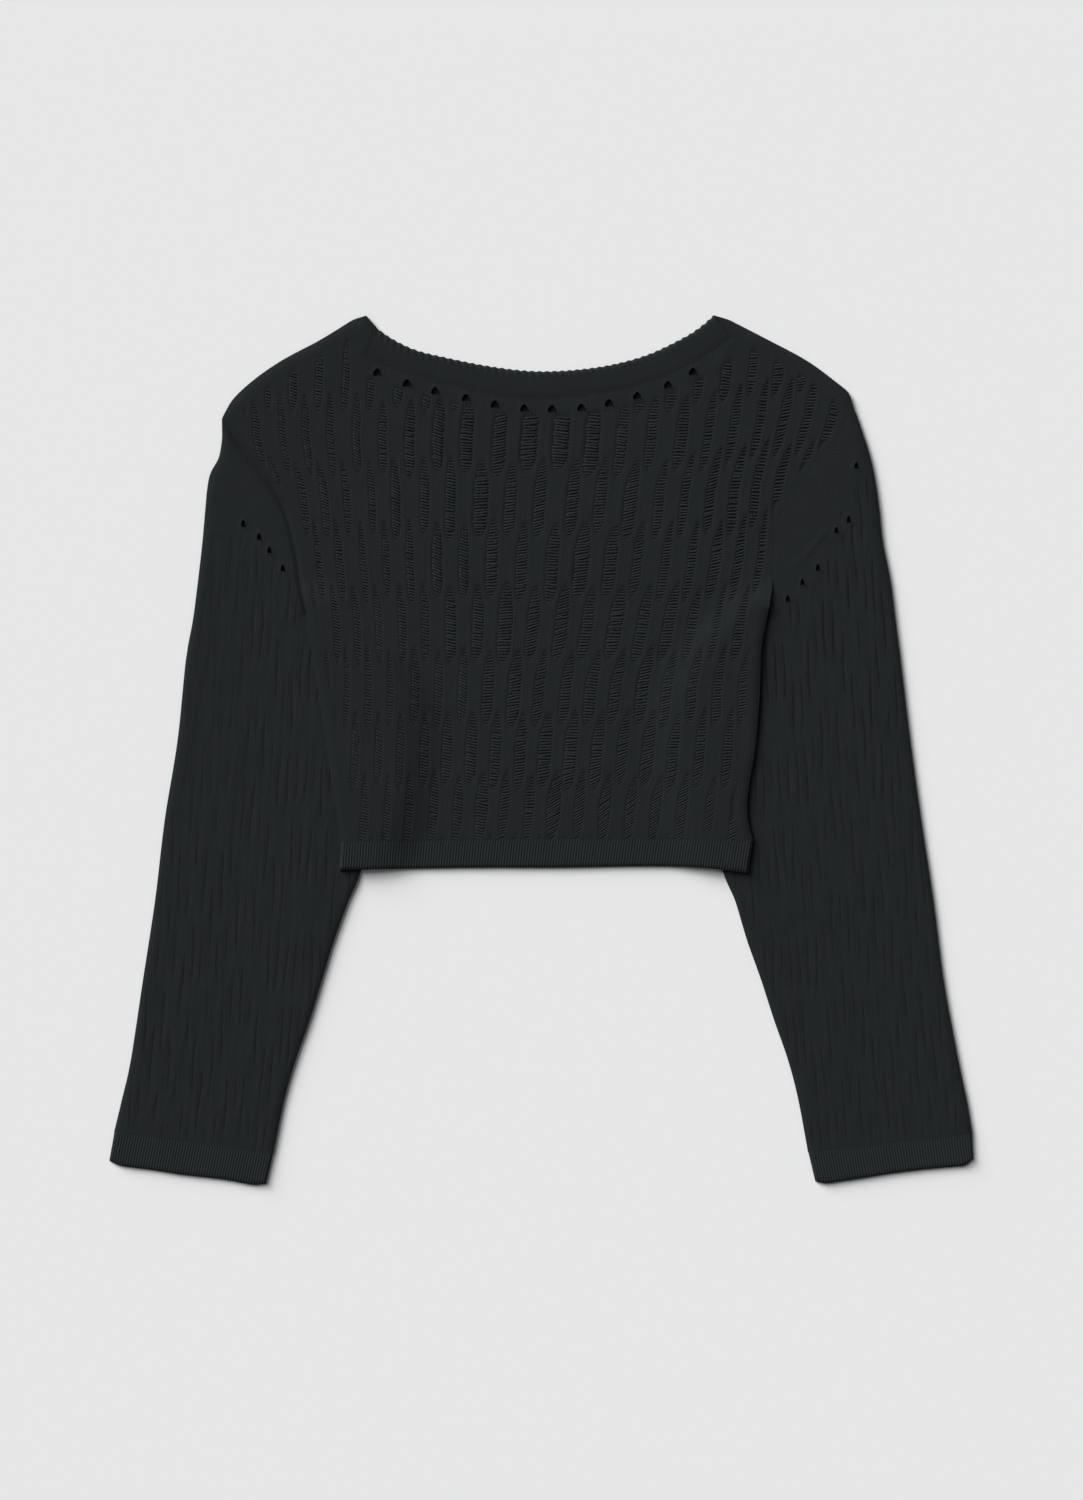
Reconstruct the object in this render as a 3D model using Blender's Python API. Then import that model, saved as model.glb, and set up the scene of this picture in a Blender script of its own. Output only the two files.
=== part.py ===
"""Cropped openwork sweater, laid flat on its back with the sleeves drawn down beside the body.

The garment is knitted in plain wale columns with ladder columns of floats between them, which
change places from band to band. Narrow ribbed bands finish the boat neck, the hem and the cuffs,
and a row of eyelets runs under the neckband and across the top of each sleeve.

Tables are in millimetres. X runs to the right, Y towards the neck and Z up from the surface the
garment lies on. The zero point is under the middle of the garment's bounding box. Left and right
are those of someone who looks down on it.
"""

import math

import bmesh
import bpy
from mathutils import Vector
from mathutils.geometry import delaunay_2d_cdt

MILLIMETRE = 0.001

# Cloth and layers
PLAIN_WALL = 1.6  # under layers and the back, plain on both faces
KNIT_WALL = 2.0  # upper layers, measured over the wales
LADDER_DEPTH = 0.8  # how far a ladder column lies below the wales beside it
RIB_DEPTH = 0.7
LAYER_GAP = 0.3  # between the two layers of a flattened tube
SEAM_GAP = 0.4  # between pieces that are sewn edge to edge
EDGE_ROUND = 1.4  # how far in from its edge a knitted wall reaches its full height
EDGE_HEIGHT = 1.0  # height of a knitted wall at its edge

STACK = PLAIN_WALL + LAYER_GAP + KNIT_WALL  # a flattened sleeve
BODY_LIFT = STACK + LAYER_GAP  # the body where it lies on a sleeve
LIFT_RAMP = 28.0  # width of the slope from the surface up to that height

# Knitting
BAND_HEIGHT = 48.9  # one band of ladders
BAND_ZERO = -72.2  # Y of the first band's lower end
BAND_TAPER = 0.18  # share of a band in which a ladder runs out to a point
BODY_LADDER = 0.25  # half the width of a body ladder, as a share of its column
SLEEVE_LADDER = 0.35
SLEEVE_COLUMN = 13.4  # distance from one sleeve column to the next
SLEEVE_TILT = math.radians(8.0)  # a sleeve's courses slope down towards the body
SLEEVE_LEAN = 0.4  # share of the outer edge's slope that a sleeve's columns follow
SLEEVE_MIDDLE = -50.0  # Y where the first of them meets that edge
NECK_RIBS = 48
HEM_RIBS = 76  # two of the real ribs each
CUFF_RIBS = 30
RIBS_PER_STATION = 2

# Spacing of the points along outlines and inside plain faces
OUTLINE_STEP = 10.0
LATTICE_MARGIN = 2.6
EDGE_TESTS = 16  # places along a column's edge that are kept clear of rims and eyelets
EDGE_CLEARANCE = 0.2
SHARPEST_MITRE = 0.2  # keeps the inset of a sharp corner from running far out
SAME_POINT = 1e-5  # points closer than this are one

CHARCOAL = (0.0152, 0.0185, 0.0194)

# Outline of the body, a table for each edge, with columns x and y
HEM_SEAM = [(-156, -70.5), (-110, -70), (-1, -69), (108, -69), (165, -70.5)]
RIGHT_SIDE = [
    (165, -70.5), (161.5, -57), (160.5, -44), (161.5, -30), (164, -14),
    (166.5, 1), (168.8, 24), (170.3, 47), (171.8, 80), (176.5, 107),
]
RIGHT_TUCK = [(176.5, 107), (180, 127)]
RIGHT_ARMHOLE = [
    (180, 127), (181.5, 152.5), (184.5, 180), (198, 203),
    (219, 229), (234, 246), (238.5, 257), (243.5, 267),
]
RIGHT_SHOULDER = [
    (243.5, 267), (240, 278), (227.5, 289), (206, 304.5), (177, 320), (145.5, 336), (134, 339.5),
]
RIGHT_NECK_END = [(134, 339.5), (147.5, 322)]
NECK_SEAM = [
    (147.5, 322), (123, 305.5), (93.5, 291.5), (61.5, 282), (30.5, 277.5),
    (-1, 275), (-32, 277.5), (-63.5, 284.5), (-97.5, 293.5), (-136.5, 307),
]
LEFT_NECK_END = [(-136.5, 307), (-129, 330.5)]
LEFT_SHOULDER = [
    (-129, 330.5), (-136.5, 339), (-146, 336), (-172.5, 320),
    (-201.5, 304.5), (-224, 289), (-240.5, 273.5), (-249, 258.5),
]
LEFT_ARMHOLE = [
    (-249, 258.5), (-238, 241.5), (-227, 226.5), (-211.5, 207),
    (-203, 191.5), (-197.5, 176.5), (-191.5, 151.5), (-188, 127.5),
]
LEFT_TUCK = [(-188, 127.5), (-183.5, 107)]
LEFT_SIDE = [(-183.5, 107), (-178, 70.5), (-170, 24), (-164, -19), (-159.5, -46.5), (-156, -70.5)]

# Edges of the bands
NECK_EDGE = [
    (-129, 330.5), (-118, 322.5), (-98.5, 313), (-75, 307), (-40, 300), (-1, 296),
    (42, 299), (77, 307), (100.5, 317), (120.5, 328), (134, 339.5),
]
HEM_EDGE = [
    (-157.5, -93.5), (-110, -92.5), (-47.5, -91.5), (14.5, -91.5), (77, -90.5), (124, -91.5), (161, -96),
]
LEFT_CUFF_EDGE = [
    (-337, -320), (-328.5, -324), (-305, -327), (-280, -331), (-249, -334.5), (-224, -339), (-214.5, -338),
]
RIGHT_CUFF_EDGE = [
    (213.5, -336), (219, -338), (248.5, -334), (273, -330), (301.5, -326.5), (331.5, -323.5), (337, -318.5),
]
LEFT_CUFF_SEAM = [(-333, -297.5), (-209, -314.5)]
RIGHT_CUFF_SEAM = [(208, -313), (336, -299)]

# Edges of the sleeves. The inner ones run from the tuck at the underarm, under the body, to the cuff
LEFT_OUTER = [
    (-249, 258.5), (-249, 242), (-251.5, 228), (-258, 216), (-260.5, 203), (-264, 164), (-267.5, 133),
    (-271.5, 102), (-277, 70.5), (-283.5, 8), (-293.5, -54), (-301, -116.5), (-310.5, -179),
    (-320, -241.5), (-327, -272.5), (-333, -297.5),
]
RIGHT_OUTER = [
    (243.5, 267), (247, 258), (257, 226.5), (262.5, 195.5), (266, 164), (272, 133), (276, 102), (280, 70.5),
    (287.5, 8), (296, -54), (305.5, -116.5), (313.5, -179), (325, -241.5), (331.5, -272.5), (336, -299),
]
LEFT_INNER = [
    (-183.5, 107), (-158.5, 92.5), (-136.5, 69), (-122.5, 35.5), (-119.5, 0.5), (-124, -38.5), (-133, -70),
    (-143, -101), (-150, -116.5), (-161.5, -148), (-171, -179), (-180.5, -210), (-191.5, -241.5),
    (-200.5, -272.5), (-209, -314.5),
]
RIGHT_INNER = [
    (176.5, 107), (156.5, 94), (136.5, 70.5), (123, 37), (120, 0.5), (125.5, -38.5), (134, -70), (144, -101),
    (151, -116.5), (160.5, -148), (171.5, -179), (181.5, -210), (192.5, -241.5), (200.5, -272.5), (208, -313),
]

# The body rises over the sleeves outside these lines. Columns: y, left x, right x
LIFT_LINES = [
    (148.5, -186, 184), (125, -181, 176), (110.5, -172, 168), (94, -152.5, 150.5), (73.5, -132, 131.5),
    (37, -117, 117.5), (0.5, -114, 114.5), (-38.5, -118.5, 120), (-70, -127.5, 128.5), (-101, -137.5, 138.5),
]
LIFT_START = 137.0  # Y at the underarm where the rise begins
LIFT_FULL = 110.5  # Y where it reaches its full height
LIFT_ROWS = [137, 130, 123, 116, 110.5, 94, 73.5, 55, 37, 18, 0, -20, -38.5, -55]
LIFT_OFFSETS = [-24, -12, 0, 7, 14, 21, 28]

# The body's columns, which spread over the chest and lean. Columns: y, middle x, spacing, swell, skew
BODY_COLUMNS = [
    (-72.2, -21.2, 19.0, 0.0, 0.12),
    (-47.2, -18.9, 19.0, 0.0, 0.12),
    (1.2, -15.8, 19.0, 1.6, 0.12),
    (50.3, -11.9, 18.7, 4.7, 0.10),
    (99.5, -6.4, 18.9, 9.4, 0.06),
    (147.8, -3.7, 19.7, 10.9, 0.05),
    (196.2, -0.2, 20.2, 11.2, 0.0),
    (245.3, 3.0, 21.5, 9.4, 0.0),
    (318.6, 9.2, 22.2, 6.2, 0.0),
]
SWELL_COLUMNS = 10.0  # number of columns over which the swell runs out

# The knitting is drawn up towards the right shoulder, from nothing at these places
SHOULDER_PULL = 17.0  # the most that a course rises
PULL_START_X = 80.0
PULL_WIDTH = 130.0
PULL_START_Y = 105.0
PULL_HEIGHT = 150.0

COLUMN_REACH = 13  # columns counted each way from the middle
BODY_BANDS = 9
SLEEVE_BANDS = 12
SLEEVE_BANDS_BELOW = 5  # of them, those below the first band of the body
SLEEVE_HALF_COLUMNS = (-6, 28)  # half columns counted inwards from where they meet the outer edge

# Eyelets, with columns x and y. The layer underneath has its own halfway between these
NECK_EYELETS = [
    (-127, 294.5), (-104, 286), (-82, 280), (-58, 274.5), (-35.5, 269.5), (-12.5, 266.5),
    (9, 266), (32, 267), (53.5, 270.5), (75.5, 276), (99.5, 284.5), (119, 295),
]
LEFT_SLEEVE_EYELETS = [(-231.8, 176.7), (-219.5, 166.5), (-211.5, 156), (-201, 142)]
RIGHT_SLEEVE_EYELETS = [(246, 222), (240, 180), (230.5, 171.5), (216, 142.5), (204, 131), (192.5, 118)]
NECK_EYELET_SIZE = (7.8, 7.0)
SLEEVE_EYELET_SIZE = (4.2, 6.4)

# The stitches gathered aside make each one a leaning triangle, with its tail at the lower right
EYELET_SHAPE = [(-0.12, 0.5), (-0.5, 0.0), (-0.42, -0.36), (0.05, -0.32), (0.5, -0.5), (0.28, 0.12)]


def smooth_line(rows, step=OUTLINE_STEP):
    """Points about one step apart on a smooth curve through the rows of a table."""
    points = [Vector(row) for row in rows]
    padded = [points[0] * 2 - points[1]] + points + [points[-1] * 2 - points[-2]]
    line = [points[0]]
    for before, start, end, after in zip(padded, padded[1:], padded[2:], padded[3:]):
        pieces = max(1, round((end - start).length / step))
        for piece in range(1, pieces + 1):
            t = piece / pieces
            line.append(0.5 * (
                2 * start
                + (end - before) * t
                + (2 * before - 5 * start + 4 * end - after) * t ** 2
                + (3 * start - before - 3 * end + after) * t ** 3
            ))
    return line


def joined_loop(*lines):
    """A closed outline, anticlockwise, from lines that each start where the last one ends."""
    return [point for line in lines for point in line[:-1]]


def backwards(line):
    return line[::-1]


def even_points(line, count):
    """Points at equal distances along a line, with both its ends."""
    lengths = [0.0]
    for start, end in zip(line, line[1:]):
        lengths.append(lengths[-1] + (end - start).length)
    points = []
    span = 0
    for index in range(count):
        target = lengths[-1] * index / (count - 1)
        while span < len(line) - 2 and lengths[span + 1] < target:
            span += 1
        share = (target - lengths[span]) / (lengths[span + 1] - lengths[span])
        points.append(line[span].lerp(line[span + 1], min(share, 1.0)))
    return points


def inset_loop(loop, distance):
    """The same outline moved inwards, or outwards for a negative distance."""
    inset = []
    for before, here, after in zip(loop[-1:] + loop[:-1], loop, loop[1:] + loop[:1]):
        first = (here - before).normalized()
        second = (after - here).normalized()
        first_normal = Vector((-first.y, first.x))
        second_normal = Vector((-second.y, second.x))
        mitre = (first_normal + second_normal) / max(SHARPEST_MITRE, 1 + first_normal.dot(second_normal))
        inset.append(here + mitre * distance)
    return inset


def table_value(rows, key, column):
    """Reads a table whose first column falls or rises steadily, with straight steps between its rows."""
    ordered = sorted(rows)
    key = min(max(key, ordered[0][0]), ordered[-1][0])
    for low, high in zip(ordered, ordered[1:]):
        if key <= high[0]:
            share = (key - low[0]) / (high[0] - low[0])
            return low[column] + (high[column] - low[column]) * share
    return ordered[-1][column]


def soft_step(value):
    value = min(max(value, 0.0), 1.0)
    return value * value * (3 - 2 * value)


def is_inside(point, loop):
    inside = False
    for start, end in zip(loop, loop[1:] + loop[:1]):
        if (start.y > point.y) != (end.y > point.y):
            crossing = start.x + (point.y - start.y) * (end.x - start.x) / (end.y - start.y)
            if point.x < crossing:
                inside = not inside
    return inside


def distance_to(point, loop):
    nearest = math.inf
    for start, end in zip(loop, loop[1:] + loop[:1]):
        edge = end - start
        share = min(max((point - start).dot(edge) / edge.length_squared, 0.0), 1.0)
        nearest = min(nearest, (start + edge * share - point).length)
    return nearest


def body_lift(point):
    """Height of the body above the surface: nothing in the middle, a sleeve's height at its sides."""
    along = soft_step((LIFT_START - point.y) / (LIFT_START - LIFT_FULL))
    left = table_value(LIFT_LINES, point.y, 1)
    right = table_value(LIFT_LINES, point.y, 2)
    inward = min(point.x - left, right - point.x)
    return BODY_LIFT * along * soft_step(1 - inward / LIFT_RAMP)


def no_lift(_point):
    return 0.0


def band_taper(level):
    share = level % 1.0
    return min(1.0, min(share, 1 - share) / BAND_TAPER)


def ladder_relief(column, level, half_width):
    """Depth of the ladder columns, which move over by half a column from one band to the next."""
    shifted = column - (0.5 if math.floor(level) % 2 == 0 else 0.0)
    aside = abs(shifted - round(shifted))
    return LADDER_DEPTH * max(0.0, 1 - aside / half_width) * band_taper(level)


def body_column_point(column, level):
    """Place of a point of the body, from its column, counted from the middle, and its band."""
    y = BAND_ZERO + BAND_HEIGHT * level
    middle, spacing, swell, skew = (table_value(BODY_COLUMNS, y, field) for field in range(1, 5))
    spread = swell * math.sin(math.pi * column / SWELL_COLUMNS)
    x = middle + spacing * column + spread + skew * column ** 2
    pull = soft_step((x - PULL_START_X) / PULL_WIDTH) * soft_step((y - PULL_START_Y) / PULL_HEIGHT)
    return Vector((x, y + SHOULDER_PULL * pull))


def sleeve_column_point(outer_edge, side, column, level):
    """Place of a point of a sleeve, whose columns hang more upright than its outer edge.

    Side is -1 on the left and 1 on the right.
    """
    rows = [(y, x) for x, y in outer_edge]
    y = BAND_ZERO + BAND_HEIGHT * (level - SLEEVE_BANDS_BELOW)
    middle = table_value(rows, SLEEVE_MIDDLE, 1)
    start = Vector((middle + SLEEVE_LEAN * (table_value(rows, y, 1) - middle), y))
    across = Vector((-side * math.cos(SLEEVE_TILT), -math.sin(SLEEVE_TILT)))
    return start + across * SLEEVE_COLUMN * column


def band_levels(count):
    """The ends of each band and the two places in it where a ladder reaches its full depth."""
    return [band + share for band in range(count) for share in (0.0, BAND_TAPER, 1 - BAND_TAPER)]


def body_lattice():
    """Columns of the front: a list of lines, each of points with the depth of the knitting there."""
    lines = []
    for quarter in range(-4 * COLUMN_REACH, 4 * COLUMN_REACH + 1):
        column = quarter / 4
        lines.append([
            (body_column_point(column, level), ladder_relief(column, level, BODY_LADDER))
            for level in band_levels(BODY_BANDS)
        ])
    return lines


def sleeve_lattice(outer_edge, side):
    lines = []
    for half in range(*SLEEVE_HALF_COLUMNS):
        column = half / 2
        lines.append([
            (
                sleeve_column_point(outer_edge, side, column, level),
                ladder_relief(column, level, SLEEVE_LADDER),
            )
            for level in band_levels(SLEEVE_BANDS)
        ])
    return lines


def lift_lattice():
    """Points of the body's plain faces, close together where they rise over a sleeve."""
    points = []
    for y in LIFT_ROWS:
        for offset in LIFT_OFFSETS:
            points.append(Vector((table_value(LIFT_LINES, y, 1) + offset, y)))
            points.append(Vector((table_value(LIFT_LINES, y, 2) - offset, y)))
    return points


def eyelet_loops(centres, size):
    width, height = size
    return [
        [Vector((x + width * across, y + height * along)) for across, along in EYELET_SHAPE]
        for x, y in centres
    ]


def halfway(centres):
    return [((a[0] + b[0]) / 2, (a[1] + b[1]) / 2) for a, b in zip(centres, centres[1:])]


def knit_material(name):
    material = bpy.data.materials.new(name)
    material.use_nodes = True
    principled = material.node_tree.nodes["Principled BSDF"]
    principled.inputs["Base Color"].default_value = (*CHARCOAL, 1.0)
    principled.inputs["Roughness"].default_value = 0.95
    principled.inputs["Metallic"].default_value = 0.0
    return material


def add_object(name, mesh):
    """Makes the named sub-part from a finished bmesh in millimetres, with its own material."""
    bmesh.ops.scale(mesh, vec=(MILLIMETRE,) * 3, verts=mesh.verts)
    data = bpy.data.meshes.new(name)
    mesh.to_mesh(data)
    mesh.free()
    data.materials.append(knit_material(name + "_knit"))
    bpy.context.scene.collection.objects.link(bpy.data.objects.new(name, data))


def filled_faces(mesh, loops, inner_points, inner_edges, height):
    """Fills the first loop, less the loops inside it, with triangles at the height that a function gives.

    Returns the vertices that stand on the loops, in their order.
    """
    flat = [point for loop in loops for point in loop]
    edges = []
    start = 0
    for loop in loops:
        edges += [(start + i, start + (i + 1) % len(loop)) for i in range(len(loop))]
        start += len(loop)
    edges += [(start + a, start + b) for a, b in inner_edges]
    flat += inner_points
    points, _, triangles, sources, _, _ = delaunay_2d_cdt(flat, edges, [], 1, SAME_POINT)
    if len(points) != len(flat):
        crossings = [tuple(point) for point, group in zip(points, sources) if not group]
        raise ValueError(f"the lines of a wall cross at {crossings}")
    places = {source: index for index, group in enumerate(sources) for source in group}
    order = {index: source for source, index in places.items()}
    vertices = {}
    for index, point in enumerate(points):
        vertices[index] = mesh.verts.new((point.x, point.y, height(order[index], point)))
    for triangle in triangles:
        middle = sum((points[index] for index in triangle), Vector((0, 0))) / 3
        if not any(is_inside(middle, hole) for hole in loops[1:]):
            mesh.faces.new([vertices[index] for index in triangle])
    return [vertices[places[source]] for source in range(sum(len(loop) for loop in loops))]


def join_rims(mesh, upper, lower, loop_sizes):
    """Closes the wall between the matching rims of its two faces."""
    start = 0
    for size in loop_sizes:
        for i in range(size):
            a = start + i
            b = start + (i + 1) % size
            mesh.faces.new((upper[a], lower[a], lower[b], upper[b]))
        start += size


def finish_panel(name, mesh):
    loose = [vertex for vertex in mesh.verts if not vertex.link_faces]
    bmesh.ops.delete(mesh, geom=loose, context="VERTS")
    bmesh.ops.recalc_face_normals(mesh, faces=mesh.faces)
    add_object(name, mesh)


def plain_panel(name, outline, holes, lift, inner_points):
    """An under layer: plain on both faces, resting on the surface or on a sleeve."""
    outline = inset_loop(outline, SEAM_GAP / 2)
    loops = [outline] + holes
    inner = [
        point for point in inner_points
        if is_inside(point, outline) and distance_to(point, outline) > LATTICE_MARGIN
    ]
    mesh = bmesh.new()
    upper = filled_faces(mesh, loops, inner, [], lambda _, point: lift(point) + PLAIN_WALL)
    lower = filled_faces(mesh, loops, inner, [], lambda _, point: lift(point))
    join_rims(mesh, upper, lower, [len(loop) for loop in loops])
    finish_panel(name, mesh)


def knit_panel(name, outline, holes, lift, inner_points, lattice):
    """An upper layer: a plain inner face and the ladders of its knitting on the outer one."""
    outline = inset_loop(outline, SEAM_GAP / 2)
    loops = [outline] + holes
    shoulder = inset_loop(outline, EDGE_ROUND)
    base = PLAIN_WALL + LAYER_GAP

    def fits(point, margin):
        if not is_inside(point, shoulder) or distance_to(point, shoulder) < margin:
            return False
        return all(distance_to(point, hole) > margin and not is_inside(point, hole) for hole in holes)

    points = list(shoulder)
    depths = [0.0] * len(shoulder)
    edges = [(i, (i + 1) % len(shoulder)) for i in range(len(shoulder))]
    for line in lattice:
        previous = None
        for point, depth in line:
            if not fits(point, LATTICE_MARGIN / 2):
                previous = None
                continue
            points.append(point)
            depths.append(depth)
            here = len(points) - 1
            if previous is not None:
                start = points[previous]
                between = [start.lerp(point, share / EDGE_TESTS) for share in range(1, EDGE_TESTS)]
                if all(fits(place, EDGE_CLEARANCE) for place in between):
                    edges.append((previous, here))
            previous = here
    on_loops = sum(len(loop) for loop in loops)

    def upper_height(source, point):
        if source < len(outline):
            return lift(point) + base + EDGE_HEIGHT
        if source < on_loops:
            return lift(point) + base + KNIT_WALL - LADDER_DEPTH / 2
        return lift(point) + base + KNIT_WALL - depths[source - on_loops]

    inner = [
        point for point in inner_points
        if is_inside(point, outline) and distance_to(point, outline) > LATTICE_MARGIN
    ]
    mesh = bmesh.new()
    upper = filled_faces(mesh, loops, points, edges, upper_height)
    lower = filled_faces(mesh, loops, inner, [], lambda _, point: lift(point) + base)
    join_rims(mesh, upper, lower, [len(loop) for loop in loops])
    finish_panel(name, mesh)


def fan_wall(mesh, fine, coarse, splits):
    """Closes the wall between a rim with many points and one with a point at every few of them."""
    for index in range(len(coarse) - 1):
        start = index * splits
        middle = start + splits // 2
        for i in range(start, middle):
            mesh.faces.new((fine[i], coarse[index], fine[i + 1]))
        mesh.faces.new((fine[middle], coarse[index], coarse[index + 1]))
        for i in range(middle, start + splits):
            mesh.faces.new((fine[i], coarse[index + 1], fine[i + 1]))


def band_stations(low_edge, high_edge, stations):
    """Matching points along both edges of a band, drawn in by its share of the seams."""
    low = even_points(low_edge, stations + 1)
    high = even_points(high_edge, stations + 1)
    loop = inset_loop(low + backwards(high), SEAM_GAP / 2)
    return loop[:stations + 1], backwards(loop[stations + 1:])


def ribbed_band(name, low_edge, high_edge, ribs, lift):
    """An upper band, raised in ribs that run from one edge to the other."""
    stations = ribs // RIBS_PER_STATION
    splits = 2 * RIBS_PER_STATION
    low, high = band_stations(low_edge, high_edge, stations)
    base = PLAIN_WALL + LAYER_GAP
    mesh = bmesh.new()
    rows = [[], [], [], []]
    for fine in range(stations * splits + 1):
        index = min(fine // splits, stations - 1)
        share = fine / splits - index
        start = low[index].lerp(low[index + 1], share)
        end = high[index].lerp(high[index + 1], share)
        inward = EDGE_ROUND / (end - start).length
        ridge = base + KNIT_WALL - (RIB_DEPTH if fine % 2 == 0 else 0.0)
        for row, across, height in zip(
            rows, (0.0, inward, 1 - inward, 1.0), (base + EDGE_HEIGHT, ridge, ridge, base + EDGE_HEIGHT)
        ):
            place = start.lerp(end, across)
            row.append(mesh.verts.new((place.x, place.y, lift(place) + height)))
    under = [
        [mesh.verts.new((point.x, point.y, lift(point) + base)) for point in edge]
        for edge in (low, high)
    ]
    for first, second in zip(rows, rows[1:]):
        for i in range(len(first) - 1):
            mesh.faces.new((first[i], first[i + 1], second[i + 1], second[i]))
    for i in range(stations):
        mesh.faces.new((under[0][i], under[1][i], under[1][i + 1], under[0][i + 1]))
    fan_wall(mesh, rows[0], under[0], splits)
    fan_wall(mesh, rows[-1], under[1], splits)
    for end in (0, -1):
        mesh.faces.new([row[end] for row in rows] + [under[1][end], under[0][end]])
    finish_panel(name, mesh)


def plain_band(name, low_edge, high_edge, ribs, lift):
    """The layer under a ribbed band, plain on both faces."""
    low, high = band_stations(low_edge, high_edge, ribs // RIBS_PER_STATION)
    mesh = bmesh.new()
    grid = [
        [mesh.verts.new((point.x, point.y, lift(point) + height)) for point in edge]
        for edge, height in ((low, 0.0), (low, PLAIN_WALL), (high, PLAIN_WALL), (high, 0.0))
    ]
    for first, second in zip(grid, grid[1:] + grid[:1]):
        for i in range(len(low) - 1):
            mesh.faces.new((first[i], first[i + 1], second[i + 1], second[i]))
    for end in (0, -1):
        mesh.faces.new([row[end] for row in grid])
    finish_panel(name, mesh)


def build_body():
    outline = joined_loop(
        smooth_line(HEM_SEAM), smooth_line(RIGHT_SIDE), smooth_line(RIGHT_TUCK), smooth_line(RIGHT_ARMHOLE),
        smooth_line(RIGHT_SHOULDER), smooth_line(RIGHT_NECK_END), smooth_line(NECK_SEAM),
        smooth_line(LEFT_NECK_END), smooth_line(LEFT_SHOULDER), smooth_line(LEFT_ARMHOLE),
        smooth_line(LEFT_TUCK), smooth_line(LEFT_SIDE),
    )
    inner = lift_lattice()
    back_holes = eyelet_loops(halfway(NECK_EYELETS), NECK_EYELET_SIZE)
    front_holes = eyelet_loops(NECK_EYELETS, NECK_EYELET_SIZE)
    plain_panel("back_panel", outline, back_holes, body_lift, inner)
    knit_panel("front_panel", outline, front_holes, body_lift, inner, body_lattice())


def build_sleeve(name, outline, outer_edge, side, eyelets):
    under_holes = eyelet_loops(halfway(eyelets), SLEEVE_EYELET_SIZE)
    upper_holes = eyelet_loops(eyelets, SLEEVE_EYELET_SIZE)
    plain_panel(name + "_sleeve_under", outline, under_holes, no_lift, [])
    knit_panel(
        name + "_sleeve_upper", outline, upper_holes, no_lift, [], sleeve_lattice(outer_edge, side)
    )


def build_sleeves():
    left_outline = joined_loop(
        smooth_line(LEFT_CUFF_SEAM), backwards(smooth_line(LEFT_INNER)), backwards(smooth_line(LEFT_TUCK)),
        backwards(smooth_line(LEFT_ARMHOLE)), smooth_line(LEFT_OUTER),
    )
    right_outline = joined_loop(
        smooth_line(RIGHT_CUFF_SEAM), backwards(smooth_line(RIGHT_OUTER)),
        backwards(smooth_line(RIGHT_ARMHOLE)), backwards(smooth_line(RIGHT_TUCK)), smooth_line(RIGHT_INNER),
    )
    build_sleeve("left", left_outline, LEFT_OUTER, -1, LEFT_SLEEVE_EYELETS)
    build_sleeve("right", right_outline, RIGHT_OUTER, 1, RIGHT_SLEEVE_EYELETS)


def build_bands():
    bands = [
        ("neckband", "front", "back", backwards(NECK_SEAM), NECK_EDGE, NECK_RIBS, no_lift),
        ("hem_band", "front", "back", HEM_EDGE, HEM_SEAM, HEM_RIBS, body_lift),
        ("left_cuff", "upper", "under", LEFT_CUFF_EDGE, LEFT_CUFF_SEAM, CUFF_RIBS, no_lift),
        ("right_cuff", "upper", "under", RIGHT_CUFF_EDGE, RIGHT_CUFF_SEAM, CUFF_RIBS, no_lift),
    ]
    for name, upper, under, low_rows, high_rows, ribs, lift in bands:
        low = smooth_line(low_rows)
        high = smooth_line(high_rows)
        ribbed_band(f"{name}_{upper}", low, high, ribs, lift)
        plain_band(f"{name}_{under}", low, high, ribs, lift)


def build_sweater():
    for existing in list(bpy.data.objects):
        bpy.data.objects.remove(existing, do_unlink=True)
    build_body()
    build_sleeves()
    build_bands()


build_sweater()
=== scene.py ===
# %% [markdown]
# # A cropped openwork sweater, laid flat
# The garment is knitted by machine in a soft charcoal yarn. Smooth wales stand between ladder
# columns, where dropped stitches leave a row of loose floats, and the ladders change places from
# one band to the next. Narrow ribs finish the neck, the hem and the cuffs. The solids of the
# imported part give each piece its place, and each cell below dresses one kind of piece.

# %% Load the frame
import math

import bmesh
import bpy
import numpy as np
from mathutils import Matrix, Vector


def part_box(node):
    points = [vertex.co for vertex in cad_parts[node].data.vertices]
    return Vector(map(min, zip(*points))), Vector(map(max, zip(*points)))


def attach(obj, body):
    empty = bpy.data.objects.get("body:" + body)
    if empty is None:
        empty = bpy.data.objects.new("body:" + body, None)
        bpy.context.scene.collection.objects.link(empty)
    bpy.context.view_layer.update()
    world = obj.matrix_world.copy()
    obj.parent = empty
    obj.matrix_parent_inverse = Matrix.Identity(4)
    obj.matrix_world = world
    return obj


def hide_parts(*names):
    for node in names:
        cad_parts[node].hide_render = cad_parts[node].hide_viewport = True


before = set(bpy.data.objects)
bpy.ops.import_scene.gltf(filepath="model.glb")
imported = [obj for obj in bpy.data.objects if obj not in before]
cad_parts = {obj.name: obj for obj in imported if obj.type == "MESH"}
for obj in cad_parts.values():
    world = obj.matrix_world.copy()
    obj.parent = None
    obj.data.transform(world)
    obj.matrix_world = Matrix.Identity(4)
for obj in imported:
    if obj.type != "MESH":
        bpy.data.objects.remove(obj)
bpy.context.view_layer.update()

MILLIMETRE = 0.001
print("solids to dress:", ", ".join(sorted(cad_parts)))

# %% [markdown]
# ## How the layers lie
# The garment is a stack of flattened tubes: an under layer on the surface, an upper layer on it,
# and the body's sides on top of the sleeves. The heights are read from the solids, so that the
# thin cloth made here stays in the room that they hold. Lengths below are millimetres, apart from
# the few that say metres.

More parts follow.
